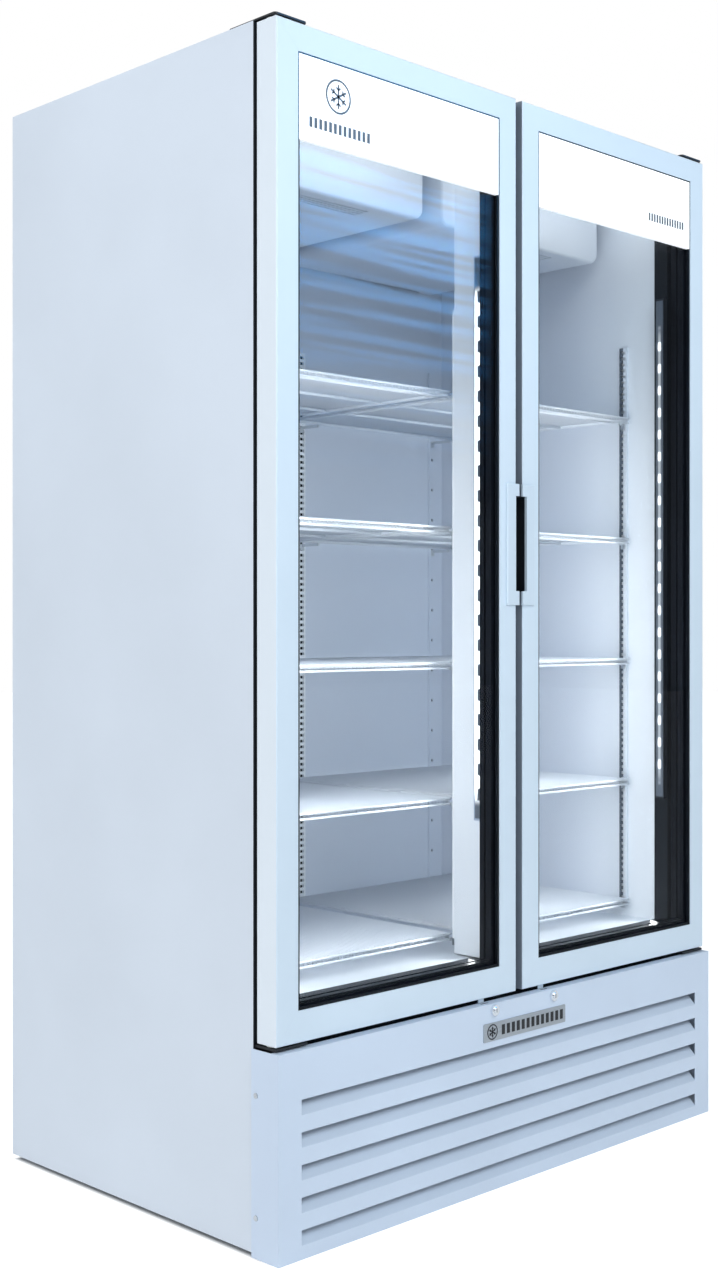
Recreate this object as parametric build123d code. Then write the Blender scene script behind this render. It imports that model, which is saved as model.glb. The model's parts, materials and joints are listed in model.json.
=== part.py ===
from build123d import *
import os

# A free-standing two-door refrigerated merchandiser: an insulated cabinet with two swinging glass
# doors, wire shelves, an evaporator in the top of each bay and a condensing unit in the base.
# Millimetres. X is right, Y is back, Z is up. While modelling, x = 0 is the cabinet's middle,
# y = 0 is the front face of the doors and z = 0 is the floor. write() moves every piece so that
# the origin is the middle of the whole box's footprint.

# ---- Driving dimensions: the cabinet ----
CABINET_WIDTH = 1204.0
CABINET_TOP = 1998.0
CABINET_REAR = 758.0
CABINET_FRONT = 53.3        # face that the door gaskets close against
SIDE_BOTTOM = 10.0
DECK_Z = 350.0              # underside of the insulated floor
SHEET = 1.2
LINER = 1.0
INNER_HALF = 549.0          # half the inner width
INNER_REAR = 700.0
INNER_FLOOR = 400.0
INNER_CEILING = 1930.0
FLANGE = 30.0               # width of the front flanges round the opening
REAR_FLANGE = 20.0
VENT_LENGTH = 90.0
VENT_HEIGHT = 8.0
VENT_GAP_X = 20.0
VENT_GAP_Z = 14.0
VENT_BANK_X = 260.0
VENT_BANK_Z = 170.0
BREAKER_REAR = 86.0         # how far back the plastic breaker strips reach
BREAKER = 2.5
MULLION_HALF = 29.0
MULLION_REAR = 136.0
MULLION_WALL = 1.5

# ---- Driving dimensions: the doors ----
DOOR_WIDTH = 590.0
DOOR_GAP = 18.0             # between the two doors
DOOR_BOTTOM = 349.0
DOOR_TOP = 1994.0
DOOR_THICK = 47.6
STILE = 46.5
TOP_RAIL = 46.0
BOTTOM_RAIL = 52.0
DOOR_EDGE_ROUND = 3.0
GLASS = 4.0
BEAD = 4.5                  # visible width of the black bead round the glass
BEAD_FRONT = 2.0
GLASS_FRONT = 8.0
INNER_GLASS_FRONT = 24.0
REVEAL = 12.0               # width of the black frame behind the glass
REVEAL_REAR = 31.0          # behind this it is only a thin lining
REVEAL_LINING = 1.5
HEADER_BOTTOM = 1807.0
HEADER_FRONT = 0.8          # the header panel stands in front of the bead
HEADER_GAP = 0.2
HEADER_LIP = 2.0
GASKET_INSET = 10.0
GASKET_WIDTH = 12.0
GASKET_REAR = 52.8

# ---- Driving dimensions: handles, hinges and locks ----
PIVOT_INSET = 14.0          # hinge axis from the door's outer edge
PIVOT_Y = 23.8
PIN_R = 6.0
RUNNING = 0.05              # radial clearance of a running fit
SEATED = 0.05               # radial clearance of a piece that is seated in a hole
BUSH_R = 9.0
BUSH_FLANGE_R = 11.0
BUSH_FLANGE = 2.7
BUSH_LENGTH = 23.0
PIN_LENGTH = 21.0           # how deep a hinge pin reaches into the door
HINGE_LENGTH = 70.0
HINGE_SHEET = 3.0
HANDLE_BOTTOM = 1060.0
HANDLE_TOP = 1283.5
HANDLE_WIDTH = 30.0
HANDLE_PROUD = 5.0
HANDLE_LAP = 4.5            # how far each plate stands over the gap between the doors
POCKET_BOTTOM = 1086.0
POCKET_TOP = 1261.0
POCKET_MOUTH = 6.5
POCKET_WIDTH = 16.5
POCKET_REAR = 28.5
CUP_WALL = 1.5
LOCK_X = (-83.0, 86.0)
LOCK_Z = 328.0
LOCK_COLLAR_R = 10.0
LOCK_BARREL_R = 8.0
LOCK_PLUG_R = 5.5
LOCK_PROUD = 7.0            # how far the plugs stand in front of the grille
CAM_REACH = 22.0
STRIKE_OFFSET = -17.0

# ---- Driving dimensions: the grille ----
GRILLE_HALF = 604.5
GRILLE_FRONT = -10.0
GRILLE_BOTTOM = 3.0
GRILLE_TOP = 340.0
GRILLE_REAR = 55.6
SLOT_HALF = 554.5
SLOT_HEIGHT = 26.0
SLOT_PITCH = 52.5
SLOT_TOP = 260.5
SLOT_COUNT = 5
BLADE_REAR = 10.0
BLADE_RISE = 19.0
SCREW_Y = 44.0
SCREW_Z = (69.0, 266.0)
SCREW_R = 2.5
SCREW_HEAD_R = 4.5
BADGE = (-113.0, 121.0, 273.0, 306.0)   # left, right, bottom, top

# ---- Driving dimensions: the inside ----
SHELF_LEVELS = (440.0, 697.0, 954.0, 1211.0, 1468.0)
SHELF_X = (26.0, 539.0)
SHELF_Y = (145.0, 655.0)
SHELF_CROSS_Y = (305.0, 485.0)
SHELF_ROD = 6.0
SHELF_WIRE = 3.4
SHELF_WIRES = 21
PILASTER_Z = (430.0, 1620.0)
PILASTER_WIDTH = 20.0
PILASTER_DEPTH = 5.5
PILASTER_SHEET = 1.5
PILASTER_PITCH = 12.7
PILASTER_SLOT = (11.0, 6.0)   # across and along each slot
REAR_HOLE_R = 3.5
REAR_HOLE_PITCH = 71.0
SIDE_PILASTER_Y = 165.0
MULLION_PILASTER_X = 18.0
REAR_PILASTER_X = (93.0, 511.0)         # the slotted one and the one with round holes
LED_Z = (660.0, 1710.0)
LED_Y = (54.0, 76.0)
LED_DEPTH = 12.0
LED_WALL = 2.5
LED_LENS = 1.5
LED_CHIP_DEPTH = 2.4        # from the lens face to the lamps
LED_CHIP = 1.2
LED_BOARD = 1.4
LED_BOARD_INSET = 3.5
LED_MOUNT_INSET = 6.0
LED_END = 4.0
LED_COUNT = 20
LED_FIRST_Z = 732.0
LED_PITCH = 46.2
COVER_X = (26.0, 524.0)
COVER_FRONT = 218.0
COVER_BOTTOM = 1805.0
COVER_WALL = 2.5
INTAKE_X = (146.5, 404.0)
INTAKE_Y = 247.0
INTAKE_WIDTH = 4.5
INTAKE_PITCH = 11.0
INTAKE_SLOTS = 4
OUTLET_FRONT = 687.0        # the cold air leaves between here and the back wall
COIL_X = (70.0, 480.0)
COIL_Y = (400.0, 600.0)
COIL_Z = (1815.0, 1920.0)
COIL_TUBE_R = 4.5
COIL_COLUMNS = (0.27, 0.73)    # the two columns of tubes, as shares of the coil's depth
COIL_STUB = 8.0                # how far the tubes stand out of the end plates
BAY_FAN_Y = 300.0
BAY_FAN_Z = 1866.0
BAY_FAN_R = 50.0
FAN_SHAFT_R = 3.0

# ---- Driving dimensions: the machine compartment ----
TRAY_Z = 20.0
TRAY_SHEET = 1.5
TRAY_FLANGE = 30.0
FOOT_X = 560.0
FOOT_Y = (110.0, 700.0)
FOOT_PAD_R = 20.0
FOOT_STUD_R = 6.0
FOOT_BLOCK = 30.0           # half the width of the block that a foot screws into
FOOT_BLOCK_HEIGHT = 12.0
RAIL_BOTTOM = 296.0
FAN_X = -360.0
FAN_Z = 185.0
FAN_FRONT = 122.0
FAN_R = 94.0
RING_R = 97.0               # inside of the fan's ring
RING_WALL = 3.0
SHROUD_X = (-548.0, -172.0)
SHROUD_Y = (114.0, 152.0)
SHROUD_Z = (56.0, 314.0)
CONDENSER_X = (-550.0, -170.0)
CONDENSER_Y = (70.0, 112.0)
CONDENSER_Z = (60.0, 310.0)
CONDENSER_ROWS = 8
COMPRESSOR_X = 250.0
COMPRESSOR_Y = 470.0
COMPRESSOR_R = 90.0
COMPRESSOR_TOP = 226.5
PAN = (-500.0, 60.0, 480.0, 720.0)      # left, right, front, rear
PAN_HEIGHT = 55.0
PAN_WALL = 2.0
CONTROL = (430.0, 570.0, 90.0, 300.0)   # left, right, front, rear
CONTROL_Z = (60.0, 240.0)
PIPE_R = 4.5
SUCTION_R = 7.0
DRIER_R = 22.0
DRIER_X = (-90.0, 20.0)
DRIER_Y = 330.0
DRIER_Z = 110.0
SUCTION_Z = 130.0
GLAND_X = 500.0
GLAND_Z = 120.0
GLAND_R = 12.0
GLAND_COLLAR_R = 18.0
CORD_R = 5.0

# ---- Worked out from the above ----
HALF = CABINET_WIDTH / 2
DOOR_OUTER = -(DOOR_WIDTH + DOOR_GAP / 2)     # the left door's outer edge
DOOR_INNER = -DOOR_GAP / 2                    # its meeting edge
PIVOT_X = DOOR_OUTER + PIVOT_INSET
WINDOW = (DOOR_OUTER + STILE, DOOR_INNER - STILE, DOOR_BOTTOM + BOTTOM_RAIL, DOOR_TOP - TOP_RAIL)
GRILLE_INNER = GRILLE_FRONT + SHEET
LOCK_FRONT = GRILLE_FRONT - LOCK_PROUD
GLAND_REAR = CABINET_REAR + 5.0
MIDDLE_Y = (LOCK_FRONT + GLAND_REAR) / 2
TRAY_FLOOR = TRAY_Z + TRAY_SHEET
BAY_MIDDLE = (COVER_X[0] + COVER_X[1]) / 2


# ---- Helpers ----
def block(x0, x1, y0, y1, z0, z1):
    """A box given by its limits along each axis."""
    return Pos(x0, y0, z0) * Box(x1 - x0, y1 - y0, z1 - z0, align=(Align.MIN,) * 3)


def frame_block(rect, inset, y0, y1):
    """A box over the rectangle (left, right, bottom, top), moved in by inset on all four sides."""
    left, right, bottom, top = rect
    return block(left + inset, right - inset, y0, y1, bottom + inset, top - inset)


def upright(x, y, z0, z1, radius):
    """A cylinder standing along Z."""
    return Pos(x, y, z0) * Cylinder(radius, z1 - z0, align=(Align.CENTER, Align.CENTER, Align.MIN))


def along_y(x, z, y0, y1, radius):
    """A cylinder lying along Y."""
    lying = Rot(-90, 0, 0) * Cylinder(radius, y1 - y0, align=(Align.CENTER, Align.CENTER, Align.MIN))
    return Pos(x, y0, z) * lying


def along_x(y, z, x0, x1, radius):
    """A cylinder lying along X."""
    lying = Rot(0, 90, 0) * Cylinder(radius, x1 - x0, align=(Align.CENTER, Align.CENTER, Align.MIN))
    return Pos(x0, y, z) * lying


def prism_xz(points, y0, y1):
    """A front-view outline of (x, z) points, solid from y0 to y1."""
    face = Plane.XZ.offset(-y0) * Polygon(*points, align=None)
    return extrude(face, amount=-(y1 - y0))


def prism_yz(points, x0, x1):
    """A side-view outline of (y, z) points, solid from x0 to x1."""
    face = Plane.YZ.offset(x0) * Polygon(*points, align=None)
    return extrude(face, amount=x1 - x0)


def other_side(solid):
    """The same piece on the other side of the cabinet's middle."""
    return mirror(solid, Plane.YZ)


def both(solid):
    return [solid, other_side(solid)]


def write(name, *shapes):
    """Writes one node: all the shapes' solids, moved into the part's own frame."""
    solids = []
    for shape in shapes:
        solids.extend(shape.solids())
    moved = [Pos(0, -MIDDLE_Y, 0) * solid for solid in solids]
    export_step(Compound(moved), f"parts/{name}.step")


# ---- Cabinet shell ----
def side_panel():
    """The left outer side, with the two flanges that are spot-welded behind it."""
    sheet = block(-HALF, -HALF + SHEET, CABINET_FRONT, CABINET_REAR, SIDE_BOTTOM, CABINET_TOP)
    inside = -HALF + SHEET
    front = block(inside, -HALF + FLANGE, CABINET_FRONT, CABINET_FRONT + SHEET, SIDE_BOTTOM, CABINET_TOP)
    rear = block(inside, -HALF + REAR_FLANGE, CABINET_REAR - SHEET, CABINET_REAR, SIDE_BOTTOM, CABINET_TOP)
    return [sheet, front, rear]


def top_panel():
    inside = HALF - SHEET
    sheet = block(-inside, inside, CABINET_FRONT + SHEET, CABINET_REAR - SHEET, CABINET_TOP - SHEET,
                  CABINET_TOP)
    lip_half = HALF - FLANGE
    lip = block(-lip_half, lip_half, CABINET_FRONT, CABINET_FRONT + SHEET, CABINET_TOP - FLANGE, CABINET_TOP)
    return [sheet, lip]


def back_panel():
    """The rear sheet, with two banks of vent slots into the machine compartment."""
    half = HALF - REAR_FLANGE
    face = Rectangle(2 * half, CABINET_TOP - SIDE_BOTTOM, align=(Align.CENTER, Align.MIN))
    slot = SlotOverall(VENT_LENGTH, VENT_HEIGHT)
    for bank_x in (-VENT_BANK_X, VENT_BANK_X):
        bank = GridLocations(VENT_LENGTH + VENT_GAP_X, VENT_HEIGHT + VENT_GAP_Z, 4, 8)
        face -= [Pos(bank_x, VENT_BANK_Z - SIDE_BOTTOM) * place * slot for place in bank]
    face -= Pos(GLAND_X, GLAND_Z - SIDE_BOTTOM) * Circle(GLAND_R + SEATED)
    plane = Plane.XZ.offset(-(CABINET_REAR - SHEET))
    return Pos(0, 0, SIDE_BOTTOM) * extrude(plane * face, amount=-SHEET)


def insulation():
    front = CABINET_FRONT + SHEET
    rear = CABINET_REAR - SHEET
    top = CABINET_TOP - SHEET
    liner_half = INNER_HALF + LINER
    liner_rear = INNER_REAR + LINER
    side = block(-HALF + SHEET, -liner_half, front, rear, DECK_Z, top)
    back = block(-liner_half, liner_half, liner_rear, rear, DECK_Z, top)
    ceiling = block(-liner_half, liner_half, front, liner_rear, INNER_CEILING + LINER, top)
    floor = block(-liner_half, liner_half, front, liner_rear, DECK_Z, INNER_FLOOR - LINER)
    return [*both(side), back, ceiling, floor]


def liner_panels():
    front = CABINET_FRONT + SHEET
    low = INNER_FLOOR - LINER
    high = INNER_CEILING + LINER
    side = block(-INNER_HALF - LINER, -INNER_HALF, front, INNER_REAR, low, high)
    back = block(-INNER_HALF - LINER, INNER_HALF + LINER, INNER_REAR, INNER_REAR + LINER, low, high)
    ceiling = block(-INNER_HALF, INNER_HALF, front, INNER_REAR, INNER_CEILING, high)
    floor = block(-INNER_HALF, INNER_HALF, front, INNER_REAR, low, INNER_FLOOR)
    return [*both(side), back, ceiling, floor]


def breaker_strips():
    """L-shaped plastic strips that join the outer sheet to the liner all round the opening.

    The bottom strip also covers the front rail under the doors.
    """
    face_half = HALF - FLANGE
    inner = INNER_HALF - BREAKER
    front = CABINET_FRONT
    skin = CABINET_FRONT + SHEET
    side = block(-face_half, -inner, front, skin, INNER_FLOOR, INNER_CEILING)
    side += block(-INNER_HALF, -inner, front, BREAKER_REAR, INNER_FLOOR, INNER_CEILING)
    top = block(-face_half, face_half, front, skin, INNER_CEILING, CABINET_TOP - FLANGE)
    top += block(-inner, inner, front, BREAKER_REAR, INNER_CEILING - BREAKER, INNER_CEILING)
    bottom = block(-face_half, face_half, front, skin, RAIL_BOTTOM, INNER_FLOOR)
    bottom += block(-inner, inner, front, BREAKER_REAR, INNER_FLOOR, INNER_FLOOR + BREAKER)
    return [*both(side), top, bottom]


def mullion():
    low = INNER_FLOOR + BREAKER
    high = INNER_CEILING - BREAKER
    post = block(-MULLION_HALF, MULLION_HALF, CABINET_FRONT, MULLION_REAR, low, high)
    wall = MULLION_WALL
    hollow = block(-MULLION_HALF + wall, MULLION_HALF - wall, CABINET_FRONT + wall, MULLION_REAR - wall,
                   low, high)
    return post - hollow


# ---- Doors ----
def door_bar(corner_a, corner_b, window_a, window_b, axis, outer):
    """One hollow, mitred bar: an outline of four (x, z) corners, rounded on its outer front edge.

    axis is the direction across the bar, and outer is the bar's outer face along it.
    """
    bar = prism_xz([corner_a, corner_b, window_b, window_a], 0, DOOR_THICK)
    front = bar.edges().filter_by_position(Axis.Y, -0.01, 0.01)
    bar = fillet(front.filter_by_position(axis, outer - 0.01, outer + 0.01), DOOR_EDGE_ROUND)
    xs = sorted((corner_a[0], window_b[0]))
    zs = sorted((corner_a[1], window_b[1]))
    run_x = -SHEET if axis == Axis.X else DOOR_WIDTH
    run_z = -SHEET if axis == Axis.Z else DOOR_TOP
    return bar - block(xs[0] - run_x, xs[1] + run_x, SHEET, DOOR_THICK - SHEET, zs[0] - run_z, zs[1] + run_z)


def door_frame():
    """Four hollow bars of the left door, mitred at the corners, and cut for the handle's cup."""
    left, right, bottom, top = WINDOW
    corners = [(DOOR_OUTER, DOOR_BOTTOM), (DOOR_INNER, DOOR_BOTTOM), (DOOR_INNER, DOOR_TOP),
               (DOOR_OUTER, DOOR_TOP)]
    windows = [(left, bottom), (right, bottom), (right, top), (left, top)]
    faces = [(Axis.Z, DOOR_BOTTOM), (Axis.X, DOOR_INNER), (Axis.Z, DOOR_TOP), (Axis.X, DOOR_OUTER)]
    cup = block(DOOR_INNER - POCKET_WIDTH - CUP_WALL, DOOR_INNER + 1, -1, POCKET_REAR + CUP_WALL,
                POCKET_BOTTOM - CUP_WALL, POCKET_TOP + CUP_WALL)
    hole_r = BUSH_R + SEATED
    low_hole = upright(PIVOT_X, PIVOT_Y, DOOR_BOTTOM - 1, DOOR_BOTTOM + SHEET + 1, hole_r)
    high_hole = upright(PIVOT_X, PIVOT_Y, DOOR_TOP - SHEET - 1, DOOR_TOP + 1, hole_r)
    bars = []
    for i in range(4):
        j = (i + 1) % 4
        bar = door_bar(corners[i], corners[j], windows[i], windows[j], *faces[i])
        bars.append(bar - cup - low_hole - high_hole)
    return bars


def glazing_frame():
    """The black frame that holds the sealed glass unit, with its front bead and its inner reveal."""
    body = frame_block(WINDOW, 0, BEAD_FRONT, DOOR_THICK)
    body -= frame_block(WINDOW, REVEAL, 0, DOOR_THICK + 1)
    body -= frame_block(WINDOW, REVEAL_LINING, REVEAL_REAR, DOOR_THICK + 1)
    body -= frame_block(WINDOW, 1.2, GLASS_FRONT, INNER_GLASS_FRONT + GLASS + 0.4)
    body -= frame_block(WINDOW, BEAD, 0, GLASS_FRONT)
    return body


def glass_panes():
    outer = frame_block(WINDOW, 1.5, GLASS_FRONT, GLASS_FRONT + GLASS)
    inner = frame_block(WINDOW, 1.5, INNER_GLASS_FRONT, INNER_GLASS_FRONT + GLASS)
    return [outer, inner]


def glass_spacer():
    front = GLASS_FRONT + GLASS
    body = frame_block(WINDOW, 1.5, front, INNER_GLASS_FRONT)
    return body - frame_block(WINDOW, 11.5, 0, DOOR_THICK)


def header_panel():
    """The white panel over the top of the window: a face on the bead, with a lip back to the pane."""
    left, right, _, top = WINDOW
    gap = HEADER_GAP
    face = block(left + gap, right - gap, HEADER_FRONT, BEAD_FRONT, HEADER_BOTTOM, top - gap)
    edge = BEAD + gap
    lip = block(left + edge, right - edge, BEAD_FRONT, GLASS_FRONT, HEADER_BOTTOM, HEADER_BOTTOM + HEADER_LIP)
    return face + lip


def door_gasket():
    outline = (DOOR_OUTER, DOOR_INNER, DOOR_BOTTOM, DOOR_TOP)
    body = frame_block(outline, GASKET_INSET, DOOR_THICK, GASKET_REAR)
    return body - frame_block(outline, GASKET_INSET + GASKET_WIDTH, 0, GASKET_REAR + 1)


def door_handle():
    """A raised plate on the meeting stile with a finger cup behind it, open towards the other door."""
    edge = DOOR_INNER
    tip = edge + HANDLE_LAP
    plate = block(edge - HANDLE_WIDTH, tip, -HANDLE_PROUD, 0, HANDLE_BOTTOM, HANDLE_TOP)
    rim = plate.edges().filter_by_position(Axis.Y, -HANDLE_PROUD - 0.01, -HANDLE_PROUD + 0.01)
    plate = fillet(rim, 2.0)
    cup = block(edge - POCKET_WIDTH - CUP_WALL, edge, 0, POCKET_REAR + CUP_WALL,
                POCKET_BOTTOM - CUP_WALL, POCKET_TOP + CUP_WALL)
    cup -= block(edge - POCKET_WIDTH, edge + 1, CUP_WALL, POCKET_REAR, POCKET_BOTTOM, POCKET_TOP)
    mouth = block(edge - POCKET_MOUTH, tip + 1, -HANDLE_PROUD - 1, POCKET_REAR, POCKET_BOTTOM, POCKET_TOP)
    return plate + cup - mouth


def hinge_bushings():
    """Flanged plastic bushings in the door's two hinge corners."""
    low_flange = DOOR_BOTTOM - BUSH_FLANGE
    high_flange = DOOR_TOP + BUSH_FLANGE
    low = upright(PIVOT_X, PIVOT_Y, low_flange, DOOR_BOTTOM, BUSH_FLANGE_R)
    low += upright(PIVOT_X, PIVOT_Y, DOOR_BOTTOM, DOOR_BOTTOM + BUSH_LENGTH, BUSH_R)
    low -= upright(PIVOT_X, PIVOT_Y, low_flange - 1, DOOR_BOTTOM + BUSH_LENGTH + 1, PIN_R + RUNNING)
    high = upright(PIVOT_X, PIVOT_Y, DOOR_TOP, high_flange, BUSH_FLANGE_R)
    high += upright(PIVOT_X, PIVOT_Y, DOOR_TOP - BUSH_LENGTH, DOOR_TOP, BUSH_R)
    high -= upright(PIVOT_X, PIVOT_Y, DOOR_TOP - BUSH_LENGTH - 1, high_flange + 1, PIN_R + RUNNING)
    return [low, high]


def lock_strike(lock_x):
    """The small tab under a door that the lock's cam turns up in front of."""
    x = lock_x + STRIKE_OFFSET
    foot = block(x - 7, x + 7, 6, 30, DOOR_BOTTOM - 1.5, DOOR_BOTTOM)
    tab = block(x - 7, x + 7, 6, 8, DOOR_BOTTOM - 7.5, DOOR_BOTTOM)
    return foot + tab


# ---- Hinges and locks on the cabinet ----
def top_hinge():
    plate = block(DOOR_OUTER, DOOR_OUTER + HINGE_LENGTH, 4, 120, CABINET_TOP, CABINET_TOP + HINGE_SHEET)
    plate = fillet(plate.edges().filter_by(Axis.Z), 6)
    return plate + upright(PIVOT_X, PIVOT_Y, DOOR_TOP - PIN_LENGTH, CABINET_TOP, PIN_R)


def bottom_hinge():
    """A plate under the door with the leg that bolts it to the cabinet, and its pin."""
    top = DOOR_BOTTOM - HINGE_SHEET
    low = top - 4
    right = DOOR_OUTER + HINGE_LENGTH
    plate = block(DOOR_OUTER, right, 3, CABINET_FRONT, low, top)
    leg = block(DOOR_OUTER, right, CABINET_FRONT - HINGE_SHEET, CABINET_FRONT, low - 47, low)
    return plate + leg + upright(PIVOT_X, PIVOT_Y, top, DOOR_BOTTOM + PIN_LENGTH, PIN_R)


def lock_housing(x):
    """The fixed chrome barrel in the grille, with its nut behind the sheet."""
    collar = along_y(x, LOCK_Z, LOCK_FRONT + 2, GRILLE_FRONT, LOCK_COLLAR_R)
    barrel = along_y(x, LOCK_Z, GRILLE_FRONT, 0.5, LOCK_BARREL_R)
    nut = extrude(Plane.XZ.offset(-GRILLE_INNER) * RegularPolygon(LOCK_COLLAR_R + 1, 6), amount=-4)
    body = collar + barrel + Pos(x, 0, LOCK_Z) * nut
    return body - along_y(x, LOCK_Z, LOCK_FRONT, 2, LOCK_PLUG_R + RUNNING)


def lock_plug(x):
    """The turning plug with its keyway, and the cam that it carries, unlocked: pointing down and in."""
    plug = along_y(x, LOCK_Z, LOCK_FRONT, 4.5, LOCK_PLUG_R)
    plug -= block(x - 0.8, x + 0.8, LOCK_FRONT - 1, LOCK_FRONT + 8, LOCK_Z - 3.5, LOCK_Z + 3.5)
    cam = block(-5, 5, 1.5, 4.5, -CAM_REACH, 6)
    return plug + Pos(x, 0, LOCK_Z) * Rot(0, 45, 0) * cam


# ---- Grille ----
def grille_panel():
    """The front grille: a sheet with slanted louvre blades, and a return welded on at each side."""
    front = GRILLE_FRONT
    inner = GRILLE_INNER
    face = block(-GRILLE_HALF, GRILLE_HALF, front, inner, GRILLE_BOTTOM, GRILLE_TOP)
    for bottom, top in ((GRILLE_TOP - SHEET, GRILLE_TOP), (GRILLE_BOTTOM, GRILLE_BOTTOM + SHEET)):
        face += block(-GRILLE_HALF, GRILLE_HALF, front, BLADE_REAR, bottom, top)
    for i in range(SLOT_COUNT):
        top = SLOT_TOP - i * SLOT_PITCH
        bottom = top - SLOT_HEIGHT
        face -= block(-SLOT_HALF, SLOT_HALF, front - 1, inner + 1, bottom, top)
        blade = [(front, bottom - 1), (inner, bottom - 1), (inner, bottom), (BLADE_REAR, bottom + BLADE_RISE),
                 (BLADE_REAR - 1, bottom + BLADE_RISE + 1), (front, bottom + 1)]
        face += prism_yz(blade, -SLOT_HALF, SLOT_HALF)
    for x in LOCK_X:
        face -= along_y(x, LOCK_Z, front - 1, inner + 1, LOCK_BARREL_R + SEATED)
        face -= block(x + STRIKE_OFFSET - 7, x - 1, 0, 6, GRILLE_TOP - SHEET - 1, GRILLE_TOP + 1)
    back = block(-GRILLE_HALF, -GRILLE_HALF + SHEET, inner, GRILLE_REAR, GRILLE_BOTTOM, GRILLE_TOP)
    for z in SCREW_Z:
        back -= along_x(SCREW_Y, z, -GRILLE_HALF - 1, -GRILLE_HALF + SHEET + 1, SCREW_R + SEATED)
    slits = block(-GRILLE_HALF, GRILLE_HALF, inner, BLADE_REAR, GRILLE_BOTTOM, GRILLE_BOTTOM + SHEET)
    slits += block(-GRILLE_HALF, GRILLE_HALF, inner, BLADE_REAR, GRILLE_TOP - SHEET, GRILLE_TOP)
    return [face, *both(back - slits)]


def grille_screws():
    screws = []
    for z in SCREW_Z:
        head = along_x(SCREW_Y, z, GRILLE_HALF, GRILLE_HALF + 1.6, SCREW_HEAD_R)
        head += along_x(SCREW_Y, z, GRILLE_HALF - 8, GRILLE_HALF, SCREW_R)
        screws.extend(both(head))
    return screws


def badge_plate():
    left, right, bottom, top = BADGE
    plate = block(left, right, GRILLE_FRONT - 1.5, GRILLE_FRONT, bottom, top)
    return fillet(plate.edges().filter_by(Axis.Y), 2.5)


# ---- Inside the bays ----
def pilaster(hole, pitch):
    """One shelf standard: a shallow channel with its back at y = 0, facing -Y, on x = 0."""
    length = PILASTER_Z[1] - PILASTER_Z[0]
    count = int(length // pitch)
    face = Rectangle(PILASTER_WIDTH, length, align=(Align.CENTER, Align.MIN))
    holes = GridLocations(1, pitch, 1, count)
    face -= [Pos(0, length / 2) * place * hole for place in holes]
    plane = Plane.XZ.offset(PILASTER_DEPTH)
    body = extrude(plane * face, amount=-PILASTER_SHEET)
    half = PILASTER_WIDTH / 2
    for x0, x1 in ((-half, -half + PILASTER_SHEET), (half - PILASTER_SHEET, half)):
        body += block(x0, x1, -PILASTER_DEPTH, 0, 0, length)
    return Pos(0, 0, PILASTER_Z[0]) * body


def pilasters():
    """Slotted standards on the side walls and the mullion, and one slotted and one holed behind each bay."""
    slotted = pilaster(Rectangle(*PILASTER_SLOT), PILASTER_PITCH)
    holed = pilaster(Circle(REAR_HOLE_R), REAR_HOLE_PITCH)
    side = Pos(INNER_HALF, SIDE_PILASTER_Y, 0) * Rot(0, 0, -90) * slotted
    middle = Pos(MULLION_PILASTER_X, MULLION_REAR, 0) * Rot(0, 0, 180) * slotted
    found = [*both(side), *both(middle)]
    for x, standard in zip(REAR_PILASTER_X, (slotted, holed)):
        found.extend(both(Pos(x, INNER_REAR, 0) * standard))
    return found


def shelf_clips():
    """Four hooks under each shelf, each resting against its slotted standard."""
    clips = []
    side_face = INNER_HALF - PILASTER_DEPTH
    middle_face = MULLION_REAR + PILASTER_DEPTH
    rear_face = INNER_REAR - PILASTER_DEPTH
    for level in SHELF_LEVELS:
        top = level - SHELF_WIRE - SHELF_ROD + 0.2
        low = top - 14
        side = block(side_face - 2, side_face, SIDE_PILASTER_Y - 5, SIDE_PILASTER_Y + 5, low, top)
        side += block(side_face - 14, side_face, SIDE_PILASTER_Y - 2, SIDE_PILASTER_Y + 2, top - 6, top)
        x = MULLION_PILASTER_X + 10
        middle = block(x - 12, x, middle_face, middle_face + 2, low, top)
        middle += block(x - 4, x + 2, middle_face, middle_face + 16, top - 6, top)
        clips.extend([*both(side), *both(middle)])
        for rear_x in REAR_PILASTER_X:
            rear = block(rear_x - 5, rear_x + 5, rear_face - 2, rear_face, low, top)
            rear += block(rear_x - 2, rear_x + 2, SHELF_Y[1] - 14, rear_face, top - 6, top)
            clips.extend(both(rear))
    return clips


def shelf():
    """The right bay's shelf with its top at z = 0: wires on a frame of rods, as a plain grid."""
    x0, x1 = SHELF_X
    y0, y1 = SHELF_Y
    top = -SHELF_WIRE + 0.2
    low = top - SHELF_ROD
    body = block(x0, x1, y0, y1, low, top) - block(x0 + SHELF_ROD, x1 - SHELF_ROD, y0 + SHELF_ROD,
                                                   y1 - SHELF_ROD, low - 1, top + 1)
    for y in SHELF_CROSS_Y:
        body += block(x0, x1, y - SHELF_ROD / 2, y + SHELF_ROD / 2, low, top)
    pitch = (x1 - x0 - SHELF_ROD) / (SHELF_WIRES - 1)
    for i in range(SHELF_WIRES):
        x = x0 + SHELF_ROD / 2 + i * pitch
        body += block(x - SHELF_WIRE / 2, x + SHELF_WIRE / 2, y0, y1, -SHELF_WIRE, 0)
    return body


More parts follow.
